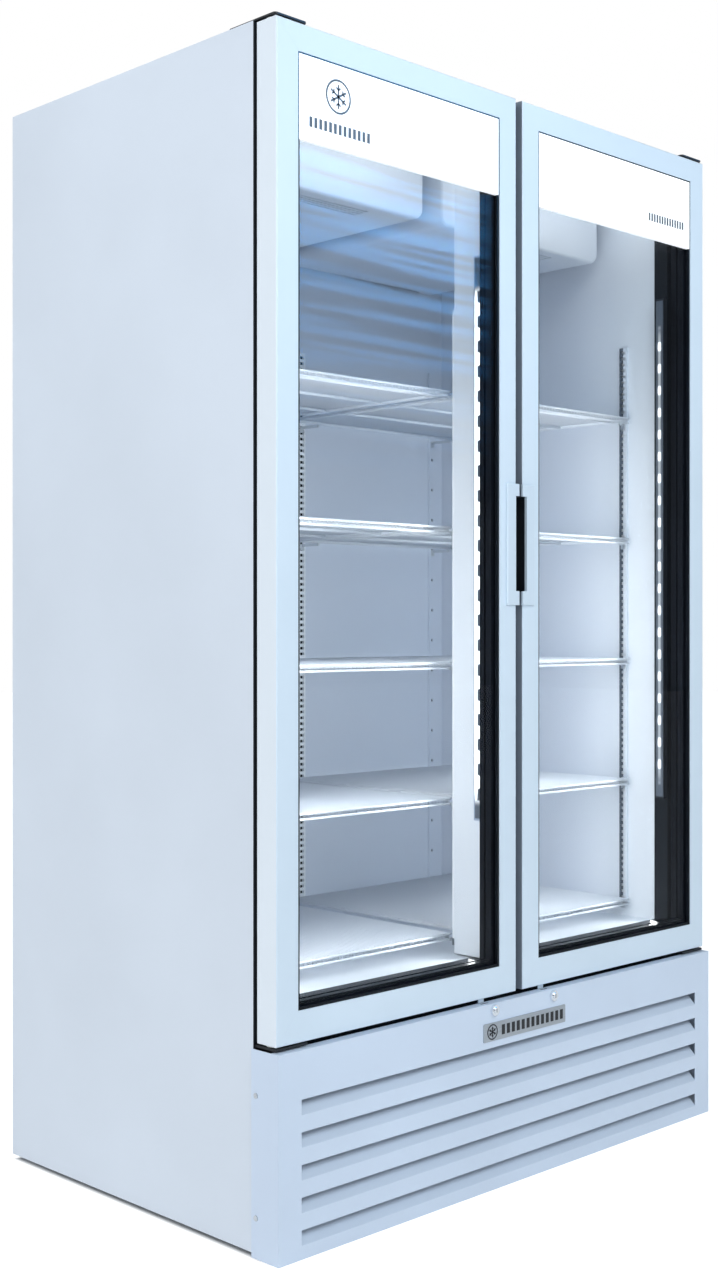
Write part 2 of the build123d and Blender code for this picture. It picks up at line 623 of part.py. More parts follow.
def led_bar(face):
    """One light bar's channel, board, lens and chips, on a wall whose face is at x = face, lit to -X."""
    y0, y1 = LED_Y
    z0, z1 = LED_Z
    lit = face - LED_DEPTH
    wall, end = LED_WALL, LED_END
    channel = block(lit, face, y0, y1, z0, z1)
    channel -= block(lit - 1, face - wall, y0 + wall, y1 - wall, z0 + end, z1 - end)
    lens = block(lit, lit + LED_LENS, y0 + wall, y1 - wall, z0 + end, z1 - end)
    lamps = lit + LED_CHIP_DEPTH
    boards = lamps + LED_CHIP
    inset, mid_inset = LED_BOARD_INSET, LED_MOUNT_INSET
    board = block(boards, boards + LED_BOARD, y0 + inset, y1 - inset, z0 + 2 * end, z1 - 2 * end)
    mount = block(boards + LED_BOARD, face - wall, y0 + mid_inset, y1 - mid_inset, z0 + 2 * end, z1 - 2 * end)
    middle = (y0 + y1) / 2
    chips = []
    for i in range(LED_COUNT):
        z = LED_FIRST_Z + i * LED_PITCH
        chips.append(block(lamps, boards, middle - 2.5, middle + 2.5, z - 2.5, z + 2.5))
    return channel, lens, board + mount, chips


def light_bars():
    """Bars on both side walls and on both sides of the mullion, grouped piece by piece."""
    channels, lenses, boards, chips = [], [], [], []
    wall = led_bar(INNER_HALF - BREAKER)
    post = led_bar(-MULLION_HALF)
    for channel, lens, board, dots in (wall, post):
        channels.extend(both(channel))
        lenses.extend(both(lens))
        boards.extend(both(board))
        for dot in dots:
            chips.extend(both(dot))
    return channels, lenses, boards, chips


def evaporator_cover():
    """The right bay's moulded housing, open to the ceiling and the back wall, with intake slots."""
    x0, x1 = COVER_X
    wall = COVER_WALL
    outer = block(x0, x1, COVER_FRONT, INNER_REAR, COVER_BOTTOM, INNER_CEILING)
    low = outer.edges().filter_by_position(Axis.Z, COVER_BOTTOM - 0.01, COVER_BOTTOM + 0.01)
    outer = fillet(low.filter_by(Axis.Y), 22)
    front = outer.faces().sort_by(Axis.Y)[0]
    outer = fillet(front.edges(), 6)
    inner = block(x0 + wall, x1 - wall, COVER_FRONT + wall, INNER_REAR + 1, COVER_BOTTOM + wall,
                  INNER_CEILING + 1)
    low = inner.edges().filter_by_position(Axis.Z, COVER_BOTTOM + wall - 0.01, COVER_BOTTOM + wall + 0.01)
    inner = fillet(low.filter_by(Axis.Y), 20)
    body = outer - inner
    for i in range(INTAKE_SLOTS):
        y = INTAKE_Y + i * INTAKE_PITCH
        body -= block(*INTAKE_X, y, y + INTAKE_WIDTH, COVER_BOTTOM - 1, COVER_BOTTOM + wall + 1)
    return body - block(x0 + 60, x1 - 60, OUTLET_FRONT, INNER_REAR + 1, COVER_BOTTOM - 1,
                        COVER_BOTTOM + wall + 1)


def coil_tube(deep, high, rows, row, column):
    """The (y, z) middle of one tube of a coil."""
    return (deep[0] + (deep[1] - deep[0]) * COIL_COLUMNS[column],
            high[0] + (high[1] - high[0]) * (row + 0.5) / rows)


def finned_coil(across, deep, high, fins, rows):
    """A coil block: end plates and fins across X, threaded by tubes along X in two columns."""
    x0, x1 = across
    y0, y1 = deep
    z0, z1 = high
    plate = 1.5
    body = block(x0, x0 + plate, y0, y1, z0, z1) + block(x1 - plate, x1, y0, y1, z0, z1)
    pitch = (x1 - x0 - 30) / (fins - 1)
    for i in range(fins):
        x = x0 + 15 + i * pitch
        body += block(x - 0.5, x + 0.5, y0 + 1, y1 - 1, z0 + 1, z1 - 1)
    for row in range(rows):
        for column in range(2):
            y, z = coil_tube(deep, high, rows, row, column)
            body += along_x(y, z, x0 - COIL_STUB, x1 + COIL_STUB, COIL_TUBE_R)
    return body


def fan_blade(radius, hub_radius, width, count, shaft_length):
    """An axial fan about Y with its hub's front at y = 0, and the shaft it is pressed on behind it."""
    blades = Rot(-90, 0, 0) * Cylinder(hub_radius, width, align=(Align.CENTER, Align.CENTER, Align.MIN))
    shape = block(-radius * 0.32, radius * 0.32, -1, 1, hub_radius - 3, radius)
    shape = fillet(shape.edges().filter_by(Axis.Y), radius * 0.12)
    for i in range(count):
        blades += Rot(0, i * 360 / count, 0) * Pos(0, width / 2, 0) * Rot(0, 0, 28) * shape
    return blades + along_y(0, 0, width - 1, width + shaft_length, FAN_SHAFT_R)


def fan_motor(radius, length, bore_length):
    """A motor about Y with its front at y = 0 and a bore for the fan's shaft."""
    body = Rot(-90, 0, 0) * Cylinder(radius, length, align=(Align.CENTER, Align.CENTER, Align.MIN))
    body = fillet(body.edges().filter_by(GeomType.CIRCLE), radius * 0.18)
    return body - along_y(0, 0, -1, bore_length, FAN_SHAFT_R + RUNNING)


# ---- Machine compartment ----
def base_frame():
    """The bottom tray and its cross rails, the foot blocks, the front rail and the deck above."""
    inside = HALF - SHEET
    front = CABINET_FRONT + SHEET
    rear = CABINET_REAR - SHEET
    high = TRAY_FLOOR + TRAY_FLANGE
    tray = block(-inside, inside, front, rear, TRAY_Z, TRAY_FLOOR)
    blocks = []
    for x in (-FOOT_X, FOOT_X):
        for y in FOOT_Y:
            stud_hole = upright(x, y, 0, high, FOOT_STUD_R + SEATED)
            tray -= stud_hole
            solid = block(x - FOOT_BLOCK, x + FOOT_BLOCK, y - FOOT_BLOCK, y + FOOT_BLOCK, TRAY_FLOOR,
                          TRAY_FLOOR + FOOT_BLOCK_HEIGHT)
            blocks.append(solid - stud_hole)
    front_rail = block(-inside, inside, front, front + TRAY_SHEET, TRAY_FLOOR, high)
    rear_rail = block(-inside, inside, rear - TRAY_SHEET, rear, TRAY_FLOOR, high)
    top_rail = block(-inside, inside, front, front + 2, RAIL_BOTTOM, DECK_Z - SHEET)
    deck = block(-inside, inside, front, rear, DECK_Z - SHEET, DECK_Z)
    return [tray, *blocks, front_rail, rear_rail, top_rail, deck]


def levelling_feet():
    feet = []
    for x in (-FOOT_X, FOOT_X):
        for y in FOOT_Y:
            pad = upright(x, y, 0, 7, FOOT_PAD_R)
            pad = fillet(pad.edges().sort_by(Axis.Z)[-1], 3)
            feet.append(pad + upright(x, y, 7, TRAY_Z + 32, FOOT_STUD_R))
    return feet


def compressor():
    """The hermetic compressor: a domed shell on a base plate with its terminal box."""
    x, y = COMPRESSOR_X, COMPRESSOR_Y
    shell = upright(x, y, TRAY_FLOOR + 22, COMPRESSOR_TOP, COMPRESSOR_R)
    shell = fillet(shell.edges().sort_by(Axis.Z)[-1], 62)
    shell = fillet(shell.edges().sort_by(Axis.Z)[0], 30)
    plate = block(x - 105, x + 105, y - 80, y + 80, TRAY_FLOOR + 18, TRAY_FLOOR + 23)
    terminal = block(x + 70, x + 112, y - 28, y + 28, TRAY_FLOOR + 70, TRAY_FLOOR + 130)
    body = shell + plate + terminal
    for dx in (-90, 90):
        for dy in (-65, 65):
            body += upright(x + dx, y + dy, TRAY_FLOOR, TRAY_FLOOR + 19, 11)
    return body


def fan_shroud():
    """The plate and ring that lead air from the condenser to its fan."""
    body = block(*SHROUD_X, SHROUD_Y[0], SHROUD_Y[0] + 2, *SHROUD_Z)
    body += along_y(FAN_X, FAN_Z, SHROUD_Y[0] + 2, SHROUD_Y[1], RING_R + RING_WALL)
    return body - along_y(FAN_X, FAN_Z, SHROUD_Y[0] - 1, SHROUD_Y[1] + 1, RING_R)


def condenser_motor():
    """The condenser fan's motor on its pedestal."""
    motor = Pos(FAN_X, 175, FAN_Z) * fan_motor(40, 75, 30)
    leg = block(FAN_X - 12, FAN_X + 12, 205, 225, TRAY_FLOOR + 3, FAN_Z - 30)
    foot = block(FAN_X - 50, FAN_X + 50, 190, 240, TRAY_FLOOR, TRAY_FLOOR + 3)
    return motor + leg + foot


def evaporator_motor():
    """One evaporator fan's motor, hung from the ceiling of the right bay."""
    front = BAY_FAN_Y + 25
    motor = Pos(BAY_MIDDLE, front, BAY_FAN_Z) * fan_motor(26, 40, 21)
    hanger = block(BAY_MIDDLE - 10, BAY_MIDDLE + 10, front + 11, front + 25, BAY_FAN_Z + 18, INNER_CEILING)
    return motor + hanger


def condensate_pan():
    x0, x1, y0, y1 = PAN
    wall = PAN_WALL
    body = block(x0, x1, y0, y1, TRAY_FLOOR, TRAY_FLOOR + PAN_HEIGHT)
    return body - block(x0 + wall, x1 - wall, y0 + wall, y1 - wall, TRAY_FLOOR + wall,
                        TRAY_FLOOR + PAN_HEIGHT + 1)


def control_box():
    """The electrical box, open underneath, with a thermostat knob on its front."""
    x0, x1, y0, y1 = CONTROL
    z0, z1 = CONTROL_Z
    box = block(x0, x1, y0, y1, z0, z1)
    box -= block(x0 + TRAY_SHEET, x1 - TRAY_SHEET, y0 + TRAY_SHEET, y1 - TRAY_SHEET, z0 - 1, z1 - TRAY_SHEET)
    return box + along_y((x0 + x1) / 2, 170, y0 - 12, y0, 16)


def filter_drier():
    left, right = DRIER_X
    body = along_x(DRIER_Y, DRIER_Z, left, right, DRIER_R)
    body = fillet(body.edges().filter_by(GeomType.CIRCLE), 12)
    return body + along_x(DRIER_Y, DRIER_Z, left - 20, right + 20, PIPE_R)


def pipe(points, radius=PIPE_R, bend=24.0):
    """A copper pipe: straight runs joined by equal bends, swept by a round section."""
    path = FilletPolyline(*points, radius=bend)
    return sweep(Plane(origin=path @ 0, z_dir=path % 0) * Circle(radius), path=path)


def refrigerant_pipes():
    """The discharge, liquid and suction lines of the condensing unit."""
    coil_end = CONDENSER_X[1] + COIL_STUB
    top_y, top_z = coil_tube(CONDENSER_Y, CONDENSER_Z, CONDENSER_ROWS, CONDENSER_ROWS - 1, 1)
    low_y, low_z = coil_tube(CONDENSER_Y, CONDENSER_Z, CONDENSER_ROWS, 0, 1)
    deck = DECK_Z - SHEET
    bend_y = DRIER_Y - 30
    left = DRIER_X[0] - 20
    right = DRIER_X[1] + 20
    discharge = pipe([(coil_end, top_y, top_z), (190, top_y, top_z), (190, bend_y, top_z),
                      (COMPRESSOR_X, bend_y, top_z), (COMPRESSOR_X, COMPRESSOR_Y, top_z),
                      (COMPRESSOR_X, COMPRESSOR_Y, COMPRESSOR_TOP)])
    liquid = pipe([(coil_end, low_y, low_z), (left - 15, low_y, low_z), (left - 15, 230, low_z),
                   (left - 15, DRIER_Y, DRIER_Z), (left, DRIER_Y, DRIER_Z)], bend=10.0)
    riser = pipe([(right, DRIER_Y, DRIER_Z), (80, DRIER_Y, DRIER_Z), (80, 420, DRIER_Z), (80, 420, deck)])
    suction = pipe([(110, COMPRESSOR_Y, deck), (110, COMPRESSOR_Y, SUCTION_Z),
                    (COMPRESSOR_X - COMPRESSOR_R, COMPRESSOR_Y, SUCTION_Z)], radius=SUCTION_R, bend=30.0)
    return [discharge, liquid, riser, suction]


def power_gland():
    """The gland in the back panel that a supply cord would pass through."""
    body = along_y(GLAND_X, GLAND_Z, CABINET_REAR, GLAND_REAR, GLAND_COLLAR_R)
    body += along_y(GLAND_X, GLAND_Z, CABINET_REAR - 20, CABINET_REAR, GLAND_R)
    return body - along_y(GLAND_X, GLAND_Z, CABINET_REAR - 21, GLAND_REAR + 1, CORD_R)


# ---- Write every node ----
os.makedirs("parts", exist_ok=True)

left_side = side_panel()
write("left_side_panel", *left_side)
write("right_side_panel", *[other_side(solid) for solid in left_side])
write("top_panel", *top_panel())
write("back_panel", back_panel())
write("insulation", *insulation())
write("liner_panels", *liner_panels())
write("breaker_strips", *breaker_strips())
write("mullion", mullion())

door_pieces = {
    "frame": door_frame(),
    "glazing_frame": [glazing_frame()],
    "glass_panes": glass_panes(),
    "glass_spacer": [glass_spacer()],
    "header_panel": [header_panel()],
    "gasket": [door_gasket()],
    "handle": [door_handle()],
    "hinge_bushings": hinge_bushings(),
}
for piece, solids in door_pieces.items():
    write(f"left_door_{piece}", *solids)
    write(f"right_door_{piece}", *[other_side(solid) for solid in solids])

write("top_hinges", *both(top_hinge()))
write("bottom_hinges", *both(bottom_hinge()))
for side, x in zip(("left", "right"), LOCK_X):
    write(f"{side}_lock_strike", lock_strike(x))
    write(f"{side}_lock_plug", lock_plug(x))
write("lock_housings", *[lock_housing(x) for x in LOCK_X])
write("grille_panel", *grille_panel())
write("grille_screws", *grille_screws())
write("badge_plate", badge_plate())

write("pilasters", *pilasters())
write("shelf_clips", *shelf_clips())
right_shelf = shelf()
for number, level in enumerate(SHELF_LEVELS, start=1):
    write(f"shelf_pair_{number}", *both(Pos(0, 0, level) * right_shelf))

led_channels, led_lenses, led_boards, led_chips = light_bars()
write("led_channels", *led_channels)
write("led_lenses", *led_lenses)
write("led_boards", *led_boards)
write("led_chips", *led_chips)

write("evaporator_covers", *both(evaporator_cover()))
write("evaporator_coils", *both(finned_coil(COIL_X, COIL_Y, COIL_Z, fins=24, rows=4)))
evaporator_blade = fan_blade(BAY_FAN_R, hub_radius=14, width=20, count=5, shaft_length=20)
for side, x in (("left", -BAY_MIDDLE), ("right", BAY_MIDDLE)):
    write(f"{side}_evaporator_fan", Pos(x, BAY_FAN_Y, BAY_FAN_Z) * evaporator_blade)
write("fan_motors", *both(evaporator_motor()), condenser_motor())

write("base_frame", *base_frame())
write("levelling_feet", *levelling_feet())
write("compressor", compressor())
write("condenser_coil", finned_coil(CONDENSER_X, CONDENSER_Y, CONDENSER_Z, 30, CONDENSER_ROWS))
write("fan_shroud", fan_shroud())
condenser_blade = fan_blade(FAN_R, hub_radius=26, width=30, count=6, shaft_length=40)
write("condenser_fan", Pos(FAN_X, FAN_FRONT, FAN_Z) * condenser_blade)
write("condensate_pan", condensate_pan())
write("control_box", control_box())
write("refrigerant_pipes", *refrigerant_pipes(), filter_drier())
write("power_gland", power_gland())
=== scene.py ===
import json
import math

import bpy
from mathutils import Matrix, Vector


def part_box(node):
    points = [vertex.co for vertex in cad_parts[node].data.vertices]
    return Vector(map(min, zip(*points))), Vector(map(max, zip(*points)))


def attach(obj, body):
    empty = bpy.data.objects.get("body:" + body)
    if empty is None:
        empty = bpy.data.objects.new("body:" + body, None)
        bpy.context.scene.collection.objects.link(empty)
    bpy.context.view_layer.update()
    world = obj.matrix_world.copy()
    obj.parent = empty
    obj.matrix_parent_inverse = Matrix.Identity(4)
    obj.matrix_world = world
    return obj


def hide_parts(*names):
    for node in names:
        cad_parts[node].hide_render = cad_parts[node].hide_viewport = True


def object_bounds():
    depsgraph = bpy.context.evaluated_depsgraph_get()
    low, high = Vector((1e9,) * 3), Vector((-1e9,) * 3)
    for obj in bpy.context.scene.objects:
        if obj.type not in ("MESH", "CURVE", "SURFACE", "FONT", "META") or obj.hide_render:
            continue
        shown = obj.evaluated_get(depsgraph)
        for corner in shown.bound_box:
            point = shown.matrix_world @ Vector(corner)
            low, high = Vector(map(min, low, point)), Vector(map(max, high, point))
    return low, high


# The looks of a two-door glass door merchandiser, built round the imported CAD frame. Metres.

MM = 0.001
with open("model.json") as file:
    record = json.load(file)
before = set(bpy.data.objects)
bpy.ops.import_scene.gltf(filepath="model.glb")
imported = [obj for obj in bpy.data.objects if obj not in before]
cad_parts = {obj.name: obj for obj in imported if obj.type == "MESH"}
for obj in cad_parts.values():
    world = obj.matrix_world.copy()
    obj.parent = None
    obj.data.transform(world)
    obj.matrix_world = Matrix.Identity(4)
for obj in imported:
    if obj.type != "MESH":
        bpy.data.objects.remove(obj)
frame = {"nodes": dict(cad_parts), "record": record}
cad_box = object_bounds()
nodes = frame["nodes"]


# ---------------------------------------------------------------- material helpers
DRIFT_SCALE = 2.2            # the broad tone drift of paint and plastic
PEEL_DEPTH = 0.4 * MM
COAT_ROUGHNESS = 0.12
BRUSH_STRETCH = 0.02         # how little a streak changes along its length
BRUSH_DEPTH = 0.2 * MM
CRYSTAL_SCALE = 70.0         # of galvanised steel
GLASS_COLOUR = (0.92, 0.96, 1.0)
GLASS_FALLOFF = 4.0          # how late a pane's reflection grows towards grazing views


def new_material(name):
    """A material with one Principled shader, and its node tree."""
    material = bpy.data.materials.new(name)
    material.use_nodes = True
    tree = material.node_tree
    return material, tree, tree.nodes["Principled BSDF"]


def noise(tree, scale, detail=2.0, stretch=(1, 1, 1)):
    """A noise texture in object space, stretched along the axes."""
    coords = tree.nodes.new("ShaderNodeTexCoord")
    mapping = tree.nodes.new("ShaderNodeMapping")
    mapping.inputs["Scale"].default_value = stretch
    texture = tree.nodes.new("ShaderNodeTexNoise")
    texture.inputs["Scale"].default_value = scale
    texture.inputs["Detail"].default_value = detail
    tree.links.new(coords.outputs["Object"], mapping.inputs["Vector"])
    tree.links.new(mapping.outputs["Vector"], texture.inputs["Vector"])
    return texture.outputs["Fac"]


def ramp(tree, value, low, high, start=0.3, end=0.7):
    """Maps a value to a colour between low and high."""
    node = tree.nodes.new("ShaderNodeValToRGB")
    node.color_ramp.elements[0].position = start
    node.color_ramp.elements[1].position = end
    node.color_ramp.elements[0].color = (*low, 1)
    node.color_ramp.elements[1].color = (*high, 1)
    tree.links.new(value, node.inputs["Fac"])
    return node.outputs["Color"]


def spread(tree, value, low, high):
    """Maps a 0 to 1 value to low to high."""
    node = tree.nodes.new("ShaderNodeMapRange")
    node.inputs["To Min"].default_value = low
    node.inputs["To Max"].default_value = high
    tree.links.new(value, node.inputs["Value"])
    return node.outputs["Result"]


def bump(tree, shader, height, strength, distance):
    """Roughens a shader's surface by a height value."""
    node = tree.nodes.new("ShaderNodeBump")
    node.inputs["Strength"].default_value = strength
    node.inputs["Distance"].default_value = distance
    tree.links.new(height, node.inputs["Height"])
    tree.links.new(node.outputs["Normal"], shader.inputs["Normal"])


def shade(colour, factor):
    """A darker or lighter colour."""
    return tuple(min(1.0, c * factor) for c in colour)


def coated(name, colour, rough=0.35, grain=420.0, peel=0.06, spread_by=0.035, coat=0.0):
    """Powder coat or moulded plastic: faint tone drift, orange peel, and uneven gloss."""
    material, tree, shader = new_material(name)
    drift = noise(tree, DRIFT_SCALE, 3.0)
    tone = ramp(tree, drift, shade(colour, 1 - spread_by), shade(colour, 1 + spread_by))
    tree.links.new(tone, shader.inputs["Base Color"])
    fine = noise(tree, grain, 2.0)
    tree.links.new(spread(tree, fine, rough - 0.05, rough + 0.06), shader.inputs["Roughness"])
    bump(tree, shader, fine, peel, PEEL_DEPTH)
    shader.inputs["Coat Weight"].default_value = coat
    shader.inputs["Coat Roughness"].default_value = COAT_ROUGHNESS
    return material


def dull(material, level):
    """Lowers a material's head-on mirror share."""
    material.node_tree.nodes["Principled BSDF"].inputs["Specular IOR Level"].default_value = level
    return material


def brushed(name, colour, rough=0.3, along="X", lines=260.0):
    """Brushed or rolled metal: fine streaks along one axis."""
    material, tree, shader = new_material(name)
    stretch = [BRUSH_STRETCH if axis == along else 1 for axis in "XYZ"]
    streaks = noise(tree, lines, 3.0, stretch)
    tone = ramp(tree, streaks, shade(colour, 0.86), shade(colour, 1.1))
    tree.links.new(tone, shader.inputs["Base Color"])
    tree.links.new(spread(tree, streaks, rough - 0.08, rough + 0.12), shader.inputs["Roughness"])
    bump(tree, shader, streaks, 0.12, BRUSH_DEPTH)
    shader.inputs["Metallic"].default_value = 1.0
    return material


def spangle(name, colour):
    """Galvanised steel: large soft crystals in slightly different greys."""
    material, tree, shader = new_material(name)
    coords = tree.nodes.new("ShaderNodeTexCoord")
    cells = tree.nodes.new("ShaderNodeTexVoronoi")
    cells.inputs["Scale"].default_value = CRYSTAL_SCALE
    tree.links.new(coords.outputs["Object"], cells.inputs["Vector"])
    grey = tree.nodes.new("ShaderNodeRGBToBW")
    tree.links.new(cells.outputs["Color"], grey.inputs["Color"])
    tone = ramp(tree, grey.outputs["Val"], shade(colour, 0.88), shade(colour, 1.08), 0.1, 0.9)
    tree.links.new(tone, shader.inputs["Base Color"])
    tree.links.new(spread(tree, grey.outputs["Val"], 0.32, 0.55), shader.inputs["Roughness"])
    shader.inputs["Metallic"].default_value = 0.85
    return material


def glow(name, colour, strength):
    """A lit face: a bright emitter with a fine grain."""
    material, tree, shader = new_material(name)
    drift = noise(tree, 900.0, 1.0)
    tree.links.new(ramp(tree, drift, shade(colour, 0.9), colour), shader.inputs["Base Color"])
    tree.links.new(ramp(tree, drift, shade(colour, 0.95), colour), shader.inputs["Emission Color"])
    shader.inputs["Emission Strength"].default_value = strength
    return material


def calculate(tree, operation, first, second=0.0):
    """A Math node; each operand is a socket or a number."""
    node = tree.nodes.new("ShaderNodeMath")
    node.operation = operation
    for index, operand in enumerate((first, second)):
        if isinstance(operand, (int, float)):
            node.inputs[index].default_value = operand
        else:
            tree.links.new(operand, node.inputs[index])
    return node.outputs["Value"]


def opposite(tree, share):
    """One minus a share."""
    return calculate(tree, "SUBTRACT", 1.0, share)


def place_on(tree):
    """The object-space X, Y and Z of the shaded point, in metres."""
    coords = tree.nodes.new("ShaderNodeTexCoord")
    split = tree.nodes.new("ShaderNodeSeparateXYZ")
    tree.links.new(coords.outputs["Object"], split.inputs["Vector"])
    return split.outputs["X"], split.outputs["Y"], split.outputs["Z"]


def fade(tree, value, start, end):
    """A smooth 0 to 1 step of a value between start and end."""
    node = tree.nodes.new("ShaderNodeMapRange")
    node.interpolation_type = "SMOOTHSTEP"
    node.inputs["From Min"].default_value = start
    node.inputs["From Max"].default_value = end
    tree.links.new(value, node.inputs["Value"])
    return node.outputs["Result"]


def blend_colours(tree, share, low, high):
    """A colour between low and high; each is a socket or a colour."""
    node = tree.nodes.new("ShaderNodeMix")
    node.data_type = "RGBA"
    tree.links.new(share, node.inputs["Factor"])
    for name, colour in (("A", low), ("B", high)):
        socket = [i for i in node.inputs if i.name == name and i.type == "RGBA"][0]
        if isinstance(colour, tuple):
            socket.default_value = (*colour, 1)
        else:
            tree.links.new(colour, socket)
    return [o for o in node.outputs if o.type == "RGBA"][0]


def clear_glass(name, tint, head_on, grazing, rough=0.004, smear=0.008):
    """A pane: straight-through tinted light, with a mirror share that grows towards grazing views."""
    material, tree, shader = new_material(name)
    tree.nodes.remove(shader)
    through = tree.nodes.new("ShaderNodeBsdfTransparent")
    through.inputs["Color"].default_value = (*tint, 1)
    mirror = tree.nodes.new("ShaderNodeBsdfGlossy")
    mirror.inputs["Color"].default_value = (*GLASS_COLOUR, 1)
    marks = noise(tree, 6.0, 4.0)
    tree.links.new(spread(tree, marks, rough, rough + smear), mirror.inputs["Roughness"])
    weight = tree.nodes.new("ShaderNodeLayerWeight")
    weight.inputs["Blend"].default_value = 0.5
    facing = calculate(tree, "POWER", weight.outputs["Facing"], GLASS_FALLOFF)
    share = spread(tree, facing, head_on, grazing)
    mix = tree.nodes.new("ShaderNodeMixShader")
    tree.links.new(share, mix.inputs["Fac"])
    tree.links.new(through.outputs["BSDF"], mix.inputs[1])
    tree.links.new(mirror.outputs["BSDF"], mix.inputs[2])
    tree.links.new(mix.outputs["Shader"], tree.nodes["Material Output"].inputs["Surface"])
    return material


def repaint(material, share, other):
    """Blends another colour into a coated material's own one, by a share from 0 to 1."""
    tree = material.node_tree
    base = tree.nodes["Principled BSDF"].inputs["Base Color"]
    tree.links.new(blend_colours(tree, share, base.links[0].from_socket, other), base)
    return material


def two_tone(material, other, edge_y, operation="GREATER_THAN"):
    """Gives a coated material another colour behind the depth edge_y, or in front of it."""
    tree = material.node_tree
    return repaint(material, calculate(tree, operation, place_on(tree)[1], edge_y), other)


def near_and_far(material, far, beyond_x, operation="GREATER_THAN"):
    """Gives a coated material another colour beyond the distance beyond_x from the middle, or within it."""
    tree = material.node_tree
    off_middle = calculate(tree, "ABSOLUTE", place_on(tree)[0])
    return repaint(material, calculate(tree, operation, off_middle, beyond_x), far)


def shaded_towards_back(name, front, back, from_y, to_y):
    """Paint that is one colour at the front and changes over to another between two depths: a painted shade,
    darker towards the back.
    """
    material = coated(name, front, 0.42, 300.0, 0.08)
    tree = material.node_tree
    return repaint(material, fade(tree, place_on(tree)[1], from_y, to_y), back)


NOTCH_WAVE = (-0.25, 0.25)           # the dark notch between two lamps, on a cosine of their pitch
NOTCH_SIDE = (1 * MM, 4 * MM)        # where it ends, from the middle of the lens
DOT_SIDE = (1.5 * MM, 5 * MM)        # and where a narrow beam's dot ends
DOT_WAVE = (-0.6, 1.0)
DOT_SHARPNESS = 3.0
DOT_FLOOR = 0.12                     # how bright a narrow beam is between its dots
ROW_END = 0.3                        # of a pitch past the last lamp, where the light begins to fade
LAMP_COLOUR = (1.0, 0.99, 0.97)
LENS_LIT = (0.80, 0.82, 0.84)
LENS_DARK = (0.12, 0.14, 0.17)
LENS_LIGHT = 3.0


def lit_lens(name, first, pitch, last, beyond_x, middle_y, strength):
    """A diffuser over a row of lamps: bright, with dark notches between them in its front half.

    Beyond beyond_x the bars are narrow-beam ones, which show as a thin line of dots at middle_y.
    """
    material, tree, shader = new_material(name)
    x, y, z = place_on(tree)
    turns = calculate(tree, "MULTIPLY", calculate(tree, "SUBTRACT", z, first), 2 * math.pi / pitch)
    wave = calculate(tree, "COSINE", turns)
    notch = opposite(tree, fade(tree, wave, *NOTCH_WAVE))
    aside = calculate(tree, "SUBTRACT", y, middle_y)
    front = opposite(tree, fade(tree, aside, *NOTCH_SIDE))
    wide = opposite(tree, calculate(tree, "MULTIPLY", notch, front))
    core = opposite(tree, fade(tree, calculate(tree, "ABSOLUTE", aside), *DOT_SIDE))
    peaks = calculate(tree, "POWER", fade(tree, wave, *DOT_WAVE), DOT_SHARPNESS)
    dots = calculate(tree, "MULTIPLY", spread(tree, peaks, DOT_FLOOR, 1.0), core)
    out = calculate(tree, "GREATER_THAN", calculate(tree, "ABSOLUTE", x), beyond_x)
    pattern = calculate(tree, "ADD", calculate(tree, "MULTIPLY", dots, out),
                        calculate(tree, "MULTIPLY", wide, opposite(tree, out)))
    inside = calculate(tree, "MULTIPLY", fade(tree, z, first - pitch, first - ROW_END * pitch),
                       opposite(tree, fade(tree, z, last + ROW_END * pitch, last + pitch)))
    level = calculate(tree, "MULTIPLY", pattern, inside)
    tree.links.new(ramp(tree, level, (0, 0, 0), LAMP_COLOUR, 0.0, 1.0), shader.inputs["Emission Color"])
    tree.links.new(ramp(tree, level, LENS_DARK, LENS_LIT, 0.0, 1.0), shader.inputs["Base Color"])
    shader.inputs["Emission Strength"].default_value = strength
    shader.inputs["Roughness"].default_value = 0.3
    return material


def backlit(name, colour, strength, low, high, line):
    """A lit panel, brighter in broad soft patches, with a thin dark line along its top and sides.

    low and high are the box of the panel on the right of the middle; the other one mirrors it.
    """
    material = coated(name, colour, 0.25, 500.0, 0.02, 0.01)
    tree = material.node_tree
    shader = tree.nodes["Principled BSDF"]
    x, _, z = place_on(tree)
    along = calculate(tree, "SUBTRACT", calculate(tree, "ABSOLUTE", x), (low.x + high.x) / 2)
    side = calculate(tree, "GREATER_THAN", calculate(tree, "ABSOLUTE", along), (high.x - low.x) / 2 - line)
    edge = calculate(tree, "MAXIMUM", side, calculate(tree, "GREATER_THAN", z, high.z - line))
    patches = ramp(tree, noise(tree, 3.0), shade(colour, 0.97), colour)
    tree.links.new(blend_colours(tree, edge, patches, (0.0, 0.0, 0.0)), shader.inputs["Emission Color"])
    shader.inputs["Emission Strength"].default_value = strength
    return repaint(material, edge, BLACK)


# ---------------------------------------------------------------- materials
SKY = (0.74, 0.84, 0.93)
BLACK = (0.008, 0.010, 0.014)
CABINET_WHITE = (0.78, 0.82, 0.88)
LINER_WHITE = (0.92, 0.94, 0.97)
# painted shade: the white liner's darker colour at the back wall, which is really as white as the rest
BACK_WALL_SHADE = (0.74, 0.78, 0.86)
LINER_SHADE_DEPTHS = (-0.30, -0.02)        # the depths between which the liner fades into the back wall's painted shade
SKIN = 0.4 * MM                      # how deep the colour of a single face goes into its piece
DOOR_SIDE_SKIN = 0.3 * MM
NEAR_MULLION = 0.3                   # within this X are the mullion's light bars and its rear standards
SIDE_WALL = 0.53                     # and beyond this one the standards of the side walls
HANDLE_PLATE_BACK = -0.3725          # behind it the pocket handle is dark
HEADER_LINE = 2.4 * MM               # the dark line round the lit header panels
SIDE_STANDARD_Y = -0.208             # the middle of the standards on the side walls
LAMP_SIZE = 5 * MM
LAMPS = 20
door_low, door_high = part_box("right_door_frame")
lamp_low, lamp_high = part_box("led_chips")
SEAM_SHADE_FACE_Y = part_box("left_side_panel")[0].y + SKIN          # the cabinet's front face that the gaskets close on, painted black: a painted shade in the seam between door and cabinet
